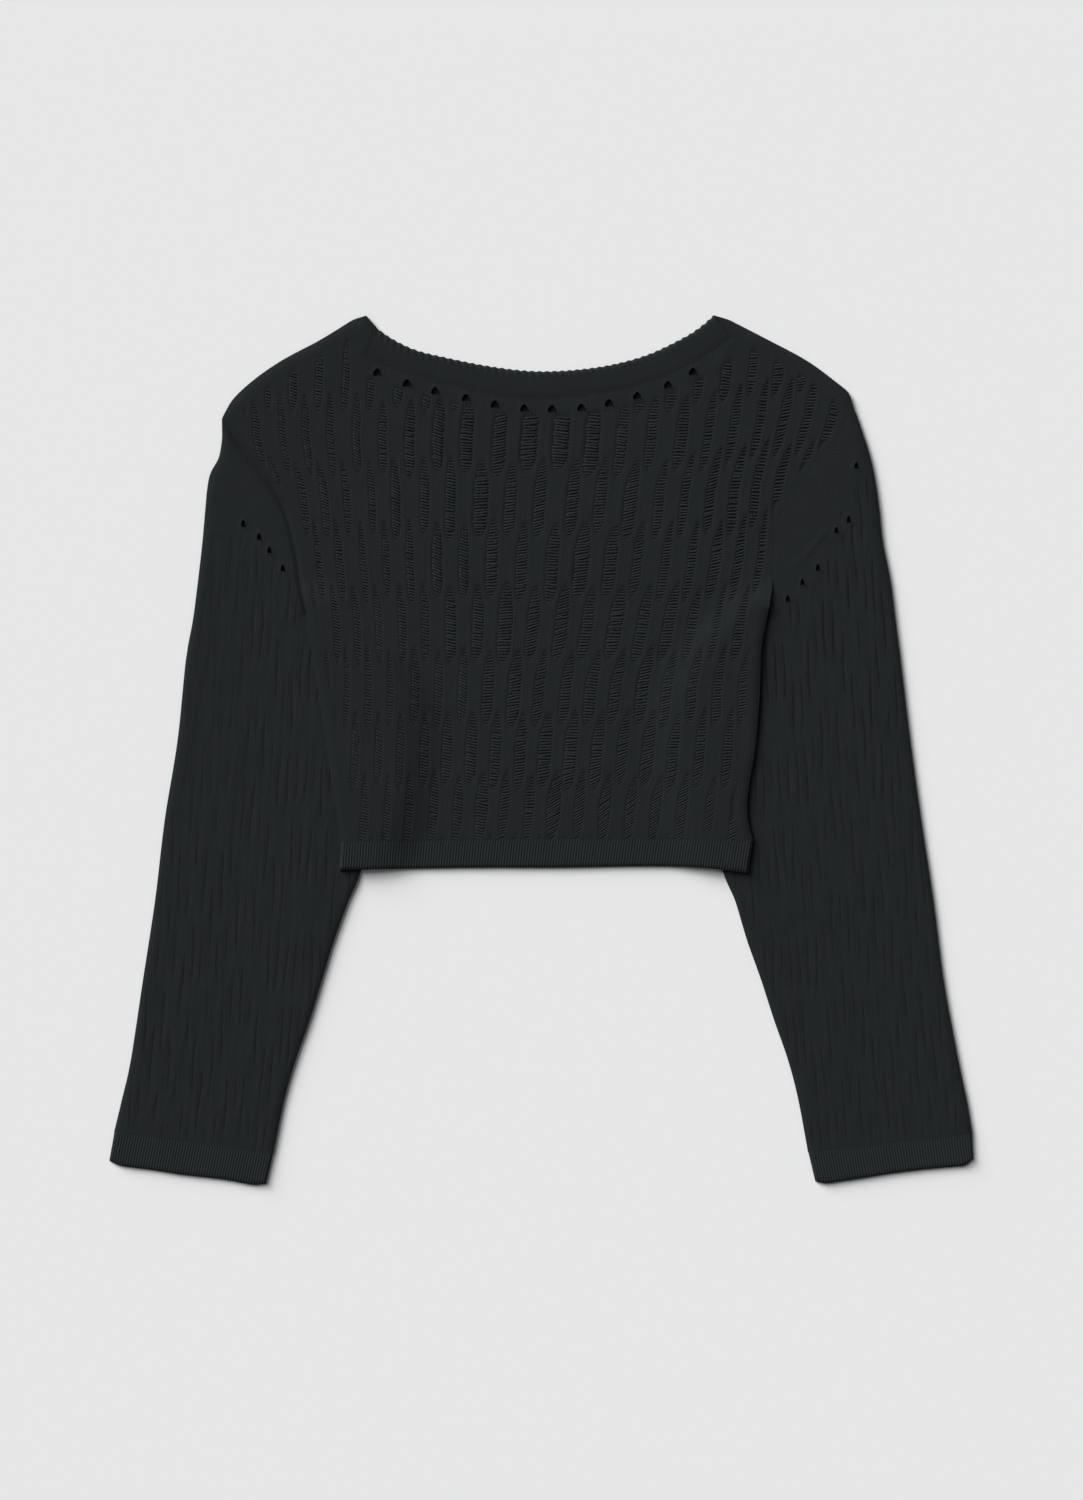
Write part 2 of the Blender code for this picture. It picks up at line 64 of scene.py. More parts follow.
# %% Heights of the layers
UNDER_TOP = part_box("left_sleeve_under")[1].z / MILLIMETRE
UPPER_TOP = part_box("left_sleeve_upper")[1].z / MILLIMETRE
BODY_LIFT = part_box("back_panel")[1].z / MILLIMETRE - UNDER_TOP

# The body rises over the sleeves outside these lines. Columns: y, left x, right x
LIFT_LINES = np.array([
    (-101, -137.5, 138.5), (-70, -127.5, 128.5), (-38.5, -118.5, 120), (0.5, -114, 114.5),
    (37, -117, 117.5), (73.5, -132, 131.5), (94, -152.5, 150.5), (110.5, -172, 168),
    (125, -181, 176), (148.5, -186, 184),
])
LIFT_ALONG = (137.0, 110.5)  # y where the rise begins at the underarm, and where it is full
LIFT_RAMP = 40.0  # width of the slope


def soft_step(value):
    """Runs from nothing at zero to one at one, with soft ends."""
    value = np.clip(value, 0.0, 1.0)
    return value * value * (3 - 2 * value)


def ramp(value, start, end):
    """Nothing up to the start and one from the end on. The start may be the larger number."""
    return soft_step((value - start) / (end - start))


def between(pair, share):
    """The value at a share of the way from the first of two numbers to the second."""
    return pair[0] + (pair[1] - pair[0]) * share


def body_lift(spots):
    """Height of the body above the surface: nothing in the middle, a sleeve's height at its sides."""
    x, y = spots.T
    left = np.interp(y, LIFT_LINES[:, 0], LIFT_LINES[:, 1])
    right = np.interp(y, LIFT_LINES[:, 0], LIFT_LINES[:, 2])
    along = ramp(y, *LIFT_ALONG)
    return BODY_LIFT * along * soft_step(1 - np.minimum(x - left, right - x) / LIFT_RAMP)


def no_lift(spots):
    return np.zeros(len(spots))


print(f"under layer to {UNDER_TOP:.1f} mm, upper layer to {UPPER_TOP:.1f} mm, body raised {BODY_LIFT:.1f} mm")

# %% [markdown]
# ## Outlines, read from the solids
# A knitter would shape each piece to a paper pattern. Here the pattern is the rim of each solid's
# flat inner face, found as the edges between a steep face and one that faces down. The solids have
# a point about every 10 mm, so a smooth curve is passed through them between the sharp corners.

# %% Find the rims of a solid
MERGE = 1e-5  # metres, joins the loose triangles of a copy
FACES_DOWN = -0.8
STEEP = 0.3
SHARP_TURN = math.radians(40.0)


def rim_loops(node):
    """Rims of a flat solid seen from above, anticlockwise: its outer edge first, then its eyelets."""
    solid = bmesh.new()
    solid.from_mesh(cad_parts[node].data)
    bmesh.ops.remove_doubles(solid, verts=solid.verts, dist=MERGE)
    solid.normal_update()
    links = {}
    for edge in solid.edges:
        down, steep = sorted(face.normal.z for face in edge.link_faces)
        if down < FACES_DOWN and abs(steep) < STEEP:
            for vertex in edge.verts:
                links.setdefault(vertex, []).append(edge.other_vert(vertex))
    loops = []
    while links:
        walk = [next(iter(links))]
        while walk[-1] in links:
            ahead = [vertex for vertex in links.pop(walk[-1]) if vertex in links]
            walk += ahead[:1]
        loop = np.array([vertex.co[:2] for vertex in walk]) / MILLIMETRE
        loops.append(loop if signed_area(loop) > 0 else loop[::-1])
    solid.free()
    return sorted(loops, key=signed_area, reverse=True)


def signed_area(loop):
    x, y = loop.T
    return float(np.sum(x * np.roll(y, -1) - np.roll(x, -1) * y)) / 2


def turns(loop):
    """How sharply a closed outline turns at each of its points."""
    ahead = np.roll(loop, -1, axis=0) - loop
    behind = np.roll(ahead, 1, axis=0)
    cross = behind[:, 0] * ahead[:, 1] - behind[:, 1] * ahead[:, 0]
    return np.abs(np.arctan2(cross, (behind * ahead).sum(axis=1)))


def rounded(loop, parts, sharp_turn=SHARP_TURN):
    """The outline with each step split in parts, on smooth curves between its sharp corners."""
    sharp = (turns(loop) > sharp_turn)[:, None]
    after = np.roll(loop, -1, axis=0)
    before = np.where(sharp, 2 * loop - after, np.roll(loop, 1, axis=0))
    beyond = np.where(np.roll(sharp, -1, axis=0), 2 * after - loop, np.roll(loop, -2, axis=0))
    t = (np.arange(parts) / parts)[None, :, None]
    before, start, end, beyond = (points[:, None, :] for points in (before, loop, after, beyond))
    curve = 0.5 * (
        2 * start
        + (end - before) * t
        + (2 * before - 5 * start + 4 * end - beyond) * t ** 2
        + (3 * start - before - 3 * end + beyond) * t ** 3
    )
    return curve.reshape(-1, 2)


print("points on the front's rim:", len(rim_loops("front_panel")[0]))

# %% [markdown]
# ## Measuring along and around the outlines
# Cloth changes near its edges: it rolls down at a fold, dips at a seam and closes its ladders. So
# the script needs to know how far a point is from a seam or a free edge. An outline is cut into
# short steps, and a step is part of a seam where another piece's rim lies beside it.

# %% Distances from the outlines
SEAM_REACH = 1.5  # rims closer than this are sewn together
LEAST_SQUARE = 1e-5  # stands for the squared length of a step that has none


def steps_of(loop):
    """The short straight steps of a closed outline, as pairs of points."""
    return np.stack([loop, np.roll(loop, -1, axis=0)], axis=1)


def nearest(spots, steps):
    """For each spot, the nearest place on the steps, and its distance."""
    best = np.full(len(spots), np.inf)
    place = np.zeros((len(spots), 2))
    for start, end in steps:
        edge = end - start
        share = np.clip((spots - start) @ edge / max(edge @ edge, LEAST_SQUARE), 0, 1)
        reached = start + share[:, None] * edge
        gap = np.hypot(*(spots - reached).T)
        closer = gap < best
        best[closer] = gap[closer]
        place[closer] = reached[closer]
    return place, best


def inside(spots, loop):
    """True for each spot that an outline goes round."""
    x, y = spots.T
    flags = np.zeros(len(spots), bool)
    for (x0, y0), (x1, y1) in steps_of(loop):
        if y0 != y1:
            crossing = x0 + (y - y0) * (x1 - x0) / (y1 - y0)
            flags ^= ((y0 > y) != (y1 > y)) & (x < crossing)
    return flags


def sewn(steps, neighbours):
    """True for each step that lies along the rim of a neighbour."""
    others = np.concatenate([steps_of(rim_loops(node)[0]) for node in neighbours])
    return nearest(steps.mean(axis=1), others)[1] < SEAM_REACH


def along_line(line, shares):
    """Places at the given shares of an open line's length."""
    length = np.concatenate([[0], np.cumsum(np.hypot(*np.diff(line, axis=0).T))])
    return np.stack([np.interp(shares * length[-1], length, line[:, axis]) for axis in (0, 1)], axis=1)


def line_length(line):
    return float(np.hypot(*np.diff(line, axis=0).T).sum())


def sides_of(loop):
    """The stretches of an outline between its sharp corners."""
    corners = np.flatnonzero(turns(loop) > SHARP_TURN)
    lines = []
    for start, end in zip(corners, np.roll(corners, -1)):
        count = (end - start) % len(loop)
        lines.append(loop[(start + np.arange(count + 1)) % len(loop)])
    return lines


print("sides of the neckband:", len(sides_of(rim_loops("neckband_front")[0])))

# %% [markdown]
# ## The knitting's own map
# On a knitted piece everything follows the stitches: wales run up the cloth and courses run
# across it. So each point is placed by its column and its level, and every pattern is written in
# those two numbers. The body's columns spread over the chest and lean at the sides. The body's
# bands also rise towards the right shoulder, where the cloth is pulled up.

# %% Place the columns of the body
BAND_HEIGHT = 48.9  # one band of ladders
BAND_ZERO = -72.2  # y of the first band's lower end
BODY_COLUMN = 20.0  # mean width of a column
SWELL_COLUMNS = 10.0  # number of columns over which the swell runs out

# Columns: y, middle x, spacing, swell, skew
BODY_COLUMNS = np.array([
    (-72.2, -21.2, 19.0, 0.0, 0.12),
    (-47.2, -18.9, 19.0, 0.0, 0.12),
    (1.2, -15.8, 19.0, 1.6, 0.12),
    (50.3, -11.9, 18.7, 4.7, 0.10),
    (99.5, -6.4, 18.9, 9.4, 0.06),
    (147.8, -3.7, 19.7, 10.9, 0.05),
    (196.2, -0.2, 20.2, 11.2, 0.0),
    (245.3, 3.0, 21.5, 9.4, 0.0),
    (318.6, 9.2, 22.2, 6.2, 0.0),
])
SHOULDER_PULL = 17.0  # how far the bands rise towards the right shoulder
PULL_ACROSS = (80.0, 210.0)  # x where the rise begins, and where it is full
PULL_UP = (105.0, 255.0)  # y where it begins, and where it is full


def body_place(column, level):
    """Places on the body, from columns counted from the middle and levels counted in bands."""
    y = BAND_ZERO + BAND_HEIGHT * level
    middle, spacing, swell, skew = (
        np.interp(y, BODY_COLUMNS[:, 0], BODY_COLUMNS[:, field]) for field in range(1, 5)
    )
    x = middle + spacing * column + swell * np.sin(np.pi * column / SWELL_COLUMNS) + skew * column ** 2
    pull = ramp(x, *PULL_ACROSS) * ramp(y, *PULL_UP)
    return np.stack([x, y + SHOULDER_PULL * pull], axis=1)


print("middle of the hem lies at x =", body_place(np.zeros(1), np.zeros(1))[0, 0].round(1))

# %% [markdown]
# A sleeve's columns hang more upright than its outer edge, and its courses slope a little down
# towards the body. Its map counts the columns inwards from where they meet that edge.

# %% Place the columns of a sleeve
SLEEVE_COLUMN = 13.4
SLEEVE_TILT = math.radians(8.0)
SLEEVE_ZERO = BAND_ZERO - 5 * BAND_HEIGHT
SLEEVE_LEAN = 0.4  # share of the outer edge's slope that the columns follow
SLEEVE_MIDDLE = -50.0  # y where the first column meets that edge


def outer_edge(node, side):
    """The outer edge of a sleeve from the cuff up, with side -1 on the left."""
    edge = max(sides_of(rim_loops(node)[0]), key=lambda line: side * line[:, 0].mean())
    return edge[np.argsort(edge[:, 1])]


def sleeve_map(node, side):
    edge = outer_edge(node, side)
    middle = np.interp(SLEEVE_MIDDLE, edge[:, 1], edge[:, 0])

    def place(column, level):
        y = SLEEVE_ZERO + BAND_HEIGHT * level
        start = middle + SLEEVE_LEAN * (np.interp(y, edge[:, 1], edge[:, 0]) - middle)
        x = start - side * math.cos(SLEEVE_TILT) * SLEEVE_COLUMN * column
        return np.stack([x, y - math.sin(SLEEVE_TILT) * SLEEVE_COLUMN * column], axis=1)

    return place


print("outer edge of the left sleeve:", len(outer_edge("left_sleeve_upper", -1)), "points")

# %% [markdown]
# ## The ladders
# A ladder is a column whose stitches were dropped: the wales on both sides stand proud and the
# cloth between them is thin. It is blunt at its foot and runs out to a point at its top, and both
# ends run on a little into the next bands, between the ladders of those, which stand half a column
# along. The wales lean round them, so the point leans over to one side. No two are quite alike in
# length, width and place. The relief and the colour of the cloth both follow this one shape.

# %% The shape of a ladder
OVERLAP = 0.13  # mean share of a band by which a ladder runs on into the next one
POINT = 0.34  # share of a ladder's length over which it narrows to its point
FOOT = 0.16  # and over which it narrows at its foot
LADDER_STRAY = 0.1  # range within which a ladder stands aside of its place, in columns
FOOT_LEAN = 0.35  # how far its foot leans the other way, as a share of the point's lean
OWN_OVERLAP = (0.5, 1.5)  # least and most of a ladder's own run into the next band, against the mean
OWN_WIDTH = (0.78, 1.18)  # and of its own width
WHOLE_DEPTH = 3  # a ladder is at its whole depth where it has a third of its width
LADDER_LIP = 0.1  # share of a column over which the cloth dips from the wale into the ladder

UNEVEN_STEPS = (12.9898, 78.233, 37.719)  # any large numbers that don't divide each other
UNEVEN_SPREAD = 43758.5453


def uneven_share(*numbers):
    """A number between nothing and one that looks random, but is always the same for one ladder."""
    mixed = sum(number * step for number, step in zip(numbers, UNEVEN_STEPS))
    return (np.sin(mixed) * UNEVEN_SPREAD) % 1.0


def ladder_shape(column, level, band, lean):
    """How wide a band's ladders are at a level, where their middle is, and which ladder is nearest."""
    start = 0.5 * (band % 2 == 0)
    ladder = np.round(column - start)
    foot = OVERLAP * between(OWN_OVERLAP, uneven_share(ladder, band, 2))
    top = OVERLAP * between(OWN_OVERLAP, uneven_share(ladder, band, 3))
    along = (level - band + foot) / (1 + foot + top)
    narrowed = np.sqrt(np.clip(np.minimum(along / FOOT, (1 - along) / POINT), 0, 1))
    shift = lean * (1 - narrowed) * np.where(along > 0.5, 1, -FOOT_LEAN)
    shift += LADDER_STRAY * (uneven_share(ladder, band, 4) - 0.5)
    return narrowed, start + shift + ladder, ladder


def openness(column, level, half_width, lean):
    """How open the knitting is, and how near the end of its ladder it is."""
    opened = np.zeros(len(column))
    ending = np.zeros(len(column))
    for step in (-1, 0, 1):
        band = np.floor(level) + step
        narrowed, middle, ladder = ladder_shape(column, level, band, lean)
        own_width = half_width * between(OWN_WIDTH, uneven_share(ladder, band))
        edge = own_width * narrowed - np.abs(column - middle)
        here = soft_step(0.5 + edge / LADDER_LIP) * np.minimum(1, WHOLE_DEPTH * narrowed)
        ending = np.where(here > opened, 1 - narrowed, ending)
        opened = np.maximum(opened, here)
    return opened, ending


print("a ladder is", round((1 + 2 * OVERLAP) * BAND_HEIGHT, 1), "mm long, with its points")

# %% [markdown]
# ## Cutting a piece from a grid of knitting
# The cloth starts as a grid whose lines are wales and courses. What lies outside the piece's rim
# or inside an eyelet is deleted, and the cut edge is drawn onto the rim, as a knitter's decreases
# would do. This keeps the grid lines along the ladders, so a shallow relief stays crisp.

# %% Make and cut a grid
CURVE_PARTS = 4
SMOOTH_ROUNDS = 3
SEAM_LAP = 0.22  # sewn edges are drawn out by this much, so that they meet over the solids' gap


def grown(loop, distance):
    """The outline moved outwards."""
    ahead = np.roll(loop, -1, axis=0) - loop
    ahead /= np.hypot(*ahead.T)[:, None]
    normal = np.stack([ahead[:, 1], -ahead[:, 0]], axis=1)
    both = normal + np.roll(normal, 1, axis=0)
    return loop + distance * both / np.maximum(0.4, (both ** 2).sum(axis=1) / 2)[:, None]


def unit_grid(cells):
    """A flat grid, with the shares of its width and its height at which each vertex lies."""
    grid = bmesh.new()
    bmesh.ops.create_grid(grid, x_segments=cells[0], y_segments=cells[1], size=0.5)
    share = np.array([vertex.co[:2] for vertex in grid.verts]) + 0.5
    return grid, *share.T


def knit_grid(columns, levels, cells, place):
    """A grid of knitting, each vertex marked with its column and its level."""
    grid, across, up = unit_grid(cells)
    column = between(columns, across)
    level = between(levels, up)
    column_mark = grid.verts.layers.float.new("column")
    level_mark = grid.verts.layers.float.new("level")
    for vertex, spot, own_column, own_level in zip(grid.verts, place(column, level), column, level):
        vertex.co = (*spot, 0.0)
        vertex[column_mark] = own_column
        vertex[level_mark] = own_level
    return grid


def boundary_rings(grid):
    """The closed rings of boundary vertices of a cut grid."""
    left = {vertex for vertex in grid.verts if vertex.is_boundary}
    rings = []
    while left:
        ring = []
        ahead = [left.pop()]
        while ahead:
            vertex = ahead.pop()
            ring.append(vertex)
            beside = {edge.other_vert(vertex) for edge in vertex.link_edges if edge.is_boundary} & left
            left -= beside
            ahead += beside
        rings.append(ring)
    return rings


def cut_to(grid, loops):
    """Trims a grid to its rim, cuts its eyelets and draws each cut edge onto its own line."""
    spots = np.array([vertex.co[:2] for vertex in grid.verts])
    kept = inside(spots, loops[0])
    for eyelet in loops[1:]:
        kept &= ~inside(spots, eyelet)
    waste = [vertex for vertex, keep in zip(grid.verts, kept) if not keep]
    bmesh.ops.delete(grid, geom=waste, context="VERTS")
    spikes = True
    while spikes:
        spikes = [face for face in grid.faces if sum(edge.is_boundary for edge in face.edges) > 2]
        bmesh.ops.delete(grid, geom=spikes, context="FACES")
    loose = [vertex for vertex in grid.verts if not vertex.link_faces]
    bmesh.ops.delete(grid, geom=loose, context="VERTS")

    rim = set()
    for ring in boundary_rings(grid):
        spots = np.array([vertex.co[:2] for vertex in ring])
        around = [loop for loop in loops[1:] if inside(spots.mean(axis=0)[None], loop)[0]]
        own = around[0] if around else loops[0]
        targets, _ = nearest(spots, steps_of(own))
        for vertex, spot in zip(ring, targets):
            vertex.co = (*spot, 0.0)
        if not around:
            for corner in own[turns(own) > SHARP_TURN]:
                closest = np.argmin(np.hypot(*(targets - corner).T))
                ring[closest].co = (*corner, 0.0)
        rim |= set(ring)

    ring = {edge.other_vert(vertex) for vertex in rim for edge in vertex.link_edges} - rim
    second = {edge.other_vert(vertex) for vertex in ring for edge in vertex.link_edges} - rim
    for _ in range(SMOOTH_ROUNDS):
        bmesh.ops.smooth_vert(
            grid, verts=list(ring | second), factor=0.5, use_axis_x=True, use_axis_y=True
        )


print("each step of a rim becomes", CURVE_PARTS, "shorter ones")

# %% [markdown]
# ## From a grid to a piece of cloth
# A finished sheet needs a height for each vertex, a thickness, materials and its place in the
# frame. Its knitting map goes into one attribute, in millimetres, with a painted shade beside it, so
# that the stitches of the material follow the wales and the gaps, folds and seams darken. The inner
# face of the cloth is the wrong side of the knitting, painted darker as the shade inside the garment,
# so Solidify gives it a material of its own.

# %% Turn a cut grid into cloth
FOLD_REACH = 7.0  # how far in from a fold or a free edge the cloth rolls down
FOLD_DROP = 1.75
SEAM_DIP_REACH = 3.2
NECK_DIP = 0.35  # how far the cloth dips at the seam under the neckband
LEFT_ARMHOLE_DIP = 0.9  # and at the left armhole, where the cloth folds over the seam
SEAM_DIP = 0.1  # and at the other seams, which hardly show
CLOTH_WALL = 0.7


def edge_drop(spots, steps, seam_dips):
    """How far the cloth drops near its free edges, which roll down, and near its seams.

    seam_dips gives each step of the outline the dip of its seam, or nothing where it is free.
    """
    is_seam = seam_dips > 0
    drop = np.zeros(len(spots))
    if not is_seam.all():
        gap = nearest(spots, steps[~is_seam])[1]
        inward = np.clip(1 - gap / FOLD_REACH, 0, 1)
        drop = FOLD_DROP * (1 - np.sqrt(1 - inward ** 2))
    for dip in np.unique(seam_dips[is_seam]):
        gap = nearest(spots, steps[seam_dips == dip])[1]
        drop = np.maximum(drop, dip * soft_step(1 - gap / SEAM_DIP_REACH))
    return drop


def marks_of(mesh):
    """The flat places of a mesh's vertices in millimetres, with their columns and levels."""
    spots = np.zeros(len(mesh.vertices) * 3)
    mesh.vertices.foreach_get("co", spots)
    marks = []
    for name in ("column", "level"):
        values = np.zeros(len(mesh.vertices))
        mesh.attributes[name].data.foreach_get("value", values)
        marks.append(values)
        mesh.attributes.remove(mesh.attributes[name])
    return spots.reshape(-1, 3)[:, :2], *marks


def mesh_of(name, shape):
    """Turns a bmesh into a mesh of its own."""
    mesh = bpy.data.meshes.new(name)
    shape.to_mesh(mesh)
    shape.free()
    return mesh


def cut_cloth(name, loops, span, cells, place):
    """A piece cut from its grid as a flat mesh, with the places, columns and levels of its vertices."""
    grid = knit_grid(*span, cells, place)
    cut_to(grid, loops)
    mesh = mesh_of(name, grid)
    return mesh, *marks_of(mesh)


def new_object(name, data):
    made = bpy.data.objects.new(name, data)
    bpy.context.scene.collection.objects.link(made)
    return made


def mark_knitting(mesh, across, along, gap):
    """Stores the knitting map: millimetres across and along the wales, and the painted shade of gaps, folds
    and seams.
    """
    attribute = mesh.attributes.new("knit", "FLOAT_VECTOR", "POINT")
    attribute.data.foreach_set("vector", np.stack([across, along, gap], axis=1).ravel())


def place_vertices(mesh, spots, height):
    places = np.column_stack([spots, height]) * MILLIMETRE
    mesh.vertices.foreach_set("co", places.ravel())
    mesh.update()


def finish_cloth(name, mesh, wall, outer, inner, slot, nodes):
    """Makes the object of a sheet: smooth, with a wall below it, riding on the part."""
    mesh.materials.append(outer)
    mesh.materials.append(inner)
    mesh.shade_smooth()
    uses = np.bincount([loop.edge_index for loop in mesh.loops], minlength=len(mesh.edges))
    mesh.attributes.new("sharp_edge", "BOOLEAN", "EDGE").data.foreach_set("value", uses == 1)
    cloth = new_object(name, mesh)
    solidify = cloth.modifiers.new("wall", "SOLIDIFY")
    solidify.thickness = wall * MILLIMETRE
    solidify.offset = -1.0
    solidify.material_offset = 1
    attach(cloth, "root")
    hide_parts(*nodes)
    return cloth


print(f"a free edge rolls down {FOLD_DROP} mm over {FOLD_REACH} mm")

# %% [markdown]
# ## Colours and the node helper
# The yarn is a charcoal that leans a little to green-blue. Colours are written as they look on
# a screen, and one function turns them to the linear values that Blender's shaders use. Every
# material below is built with one small function that adds a node and links it.

# %% Colour and node helpers
def linear(hex_colour):
    """An sRGB hex colour as linear red, green, blue and alpha."""
    channels = [int(hex_colour[start:start + 2], 16) / 255 for start in (1, 3, 5)]
    return tuple(c / 12.92 if c <= 0.04045 else ((c + 0.055) / 1.055) ** 2.4 for c in channels) + (1.0,)


def add_node(material, kind, inputs=(), **settings):
    """Adds a node with its settings, and fills its inputs with values or with other nodes' outputs."""
    node = material.node_tree.nodes.new(kind)
    for setting, value in settings.items():
        setattr(node, setting, value)
    for socket, value in dict(inputs).items():
        if isinstance(value, bpy.types.NodeSocket):
            material.node_tree.links.new(value, node.inputs[socket])
        else:
            node.inputs[socket].default_value = value
    return node


print("charcoal in linear light:", [round(value, 4) for value in linear("#24292a")[:3]])

# %% [markdown]
# ## Knitted yarn
# The cloth is a fine-gauge jersey: a spun matt yarn looped by a flat-bed machine. To the eye that
# gives no gloss, a faint bloom of loose fibre at grazing angles, and small V-shaped stitches in
# upright wales. The Vs are worked out from the stitch width and course height, so they run along
# the wales of each piece. The yarn's colour is painted darker in the hollows of this stitch relief,
# as shade. Where the cloth is marked as a gap, the colour is painted darker still, as shade for the
# dark inside: in the ladders, the lines of the sleeves, the rib troughs, the neck seam and the left
# armhole. A slow unevenness of the dye and the yarn keeps the large faces from looking flat.

# %% Knitted yarn
STITCH_WIDTH = 1.75  # millimetres, one stitch of the jersey
COURSE_HEIGHT = 1.3
FIBRE_GRAIN = 0.8  # millimetres, drawn coarser than a fibre so that it shows
DYE_GRAIN = 14.0
LEG_RELIEF = 0.12
FURROW_RELIEF = 0.4
FIBRE_RELIEF = 1.5
GAP_DOTS = 0.3  # how far the painted shade of a gap comes and goes with the courses
YARN_BUMP = 0.5
YARN_BUMP_DEPTH = 0.0005  # metres
RELIEF_TOP = 1.1  # relief at which the yarn has its light colour, painted as lit; lower relief is painted darker as shade
DYE_SHARE = 0.8  # how much of the tone comes from the dye, against one from the painted shade of the relief
TONE_SCALE = 0.55  # brings the sum of both to between nothing and one
DRAWN_COURSE = 2.4  # courses of the drawn-in sleeves
BROAD_STITCH = 2.07  # stitches of the neckband, a third of a rib, and of the fine ribs
FINE_STITCH = 1.06
SPUN_ROUGHNESS = 0.92
SPUN_GLOSS = 0.1
SPUN_BLOOM = 0.04


def knitted_yarn(name, light, dark, gap_shade_colour, stitch=STITCH_WIDTH, course=COURSE_HEIGHT):
    material = bpy.data.materials.new(name)
    material.use_nodes = True
    shader = material.node_tree.nodes["Principled BSDF"]
    map_node = add_node(material, "ShaderNodeAttribute", attribute_name="knit")
    axes = add_node(material, "ShaderNodeSeparateXYZ", {"Vector": map_node.outputs["Vector"]})

    def reckon(operation, *values):
        inputs = dict(enumerate(values))
        return add_node(material, "ShaderNodeMath", inputs, operation=operation).outputs[0]

    # Across a stitch: nothing in its middle, half at its sides
    share = reckon("FRACT", reckon("DIVIDE", axes.outputs["X"], stitch))
    aside = reckon("ABSOLUTE", reckon("SUBTRACT", share, 0.5))

    # Along it: slanted legs, whose phase runs on with the distance aside
    slanted = reckon("SUBTRACT", reckon("DIVIDE", axes.outputs["Y"], course), aside)
    leg = reckon("SINE", reckon("MULTIPLY", slanted, 2 * math.pi))
    loop = reckon("MULTIPLY_ADD", leg, LEG_RELIEF, reckon("MULTIPLY", aside, -2 * FURROW_RELIEF))

    place = add_node(material, "ShaderNodeTexCoord").outputs["Object"]

    def noise(grain, detail):
        inputs = {"Vector": place, "Scale": 1 / (grain * MILLIMETRE), "Detail": detail}
        return add_node(material, "ShaderNodeTexNoise", inputs).outputs["Fac"]

    def mix(share, first, second):
        inputs = {"Factor": share, "A": first, "B": second}
        return add_node(material, "ShaderNodeMix", inputs, data_type="RGBA").outputs["Result"]

    fibre = noise(FIBRE_GRAIN, 2.0)
    dye = noise(DYE_GRAIN, 3.0)
    relief = reckon("MULTIPLY_ADD", fibre, FIBRE_RELIEF, loop)
    bump = add_node(
        material, "ShaderNodeBump", {"Height": relief, "Strength": YARN_BUMP, "Distance": YARN_BUMP_DEPTH}
    )

    # Painted shade: the stitch relief sets the colour, darker in its furrows and lighter on its tops
    shade = add_node(
        material, "ShaderNodeMapRange",
        {"Value": relief, "From Min": 0.0, "From Max": RELIEF_TOP, "To Min": 0.0, "To Max": 1.0},
    )
    dye_and_relief_shade = reckon("MULTIPLY_ADD", dye, DYE_SHARE, shade.outputs[0])
    yarn = mix(reckon("MULTIPLY", dye_and_relief_shade, TONE_SCALE), dark, light)
    # Painted shade: where the knit map marks a gap, the colour is mixed towards the dark of the inside
    dotted_gap_shade = reckon("MULTIPLY", axes.outputs["Z"], reckon("MULTIPLY_ADD", leg, GAP_DOTS, 1 - GAP_DOTS))
    cloth = mix(dotted_gap_shade, yarn, gap_shade_colour)
    material.node_tree.links.new(cloth, shader.inputs["Base Color"])
    material.node_tree.links.new(bump.outputs["Normal"], shader.inputs["Normal"])
    shader.inputs["Roughness"].default_value = SPUN_ROUGHNESS
    shader.inputs["Specular IOR Level"].default_value = SPUN_GLOSS
    shader.inputs["Sheen Weight"].default_value = SPUN_BLOOM
    shader.inputs["Sheen Roughness"].default_value = 0.5
    return material


CHARCOAL = (linear("#242728"), linear("#171b1c"), linear("#0b0d0e"))  # light and dark tones, from dye and painted stitch shade, and the painted shade in a gap
RIB_CHARCOAL = (linear("#2a2f30"), linear("#1d2122"), linear("#0b0d0e"))
# The garment's inside faces: the same yarn painted darker, as the shade inside the garment
SHADED_INNER_CHARCOAL = (linear("#171a1b"), linear("#101314"), linear("#0b0d0e"))

jersey = knitted_yarn("fine_gauge_cotton_jersey", *CHARCOAL)
drawn_jersey = knitted_yarn("drawn_in_cotton_jersey", *CHARCOAL, course=DRAWN_COURSE)
# Painted shade: the inside faces, seen in the eyelets and at the edges, are darker
shaded_inside_yarn = knitted_yarn("inside_of_the_jersey_painted_darker_as_shade", *SHADED_INNER_CHARCOAL)
float_yarn = knitted_yarn("loose_floats_of_spun_yarn", *CHARCOAL)
rib_yarn = knitted_yarn("broad_rib_cotton_knit", *CHARCOAL, stitch=BROAD_STITCH)
fine_rib_yarn = knitted_yarn("one_by_one_rib_cotton_knit", *RIB_CHARCOAL, stitch=FINE_STITCH)
print("materials:", ", ".join(material.name for material in (jersey, rib_yarn, fine_rib_yarn)))

# %% [markdown]
# ## The front
# The front is the piece that the eye goes to first. Its ladders are widest on the right and draw
# together on the left, and they stop short of the shoulders, the neckband and the armholes, where
# the cloth is plain. All of that is one mask, worked out from the distances to those edges.

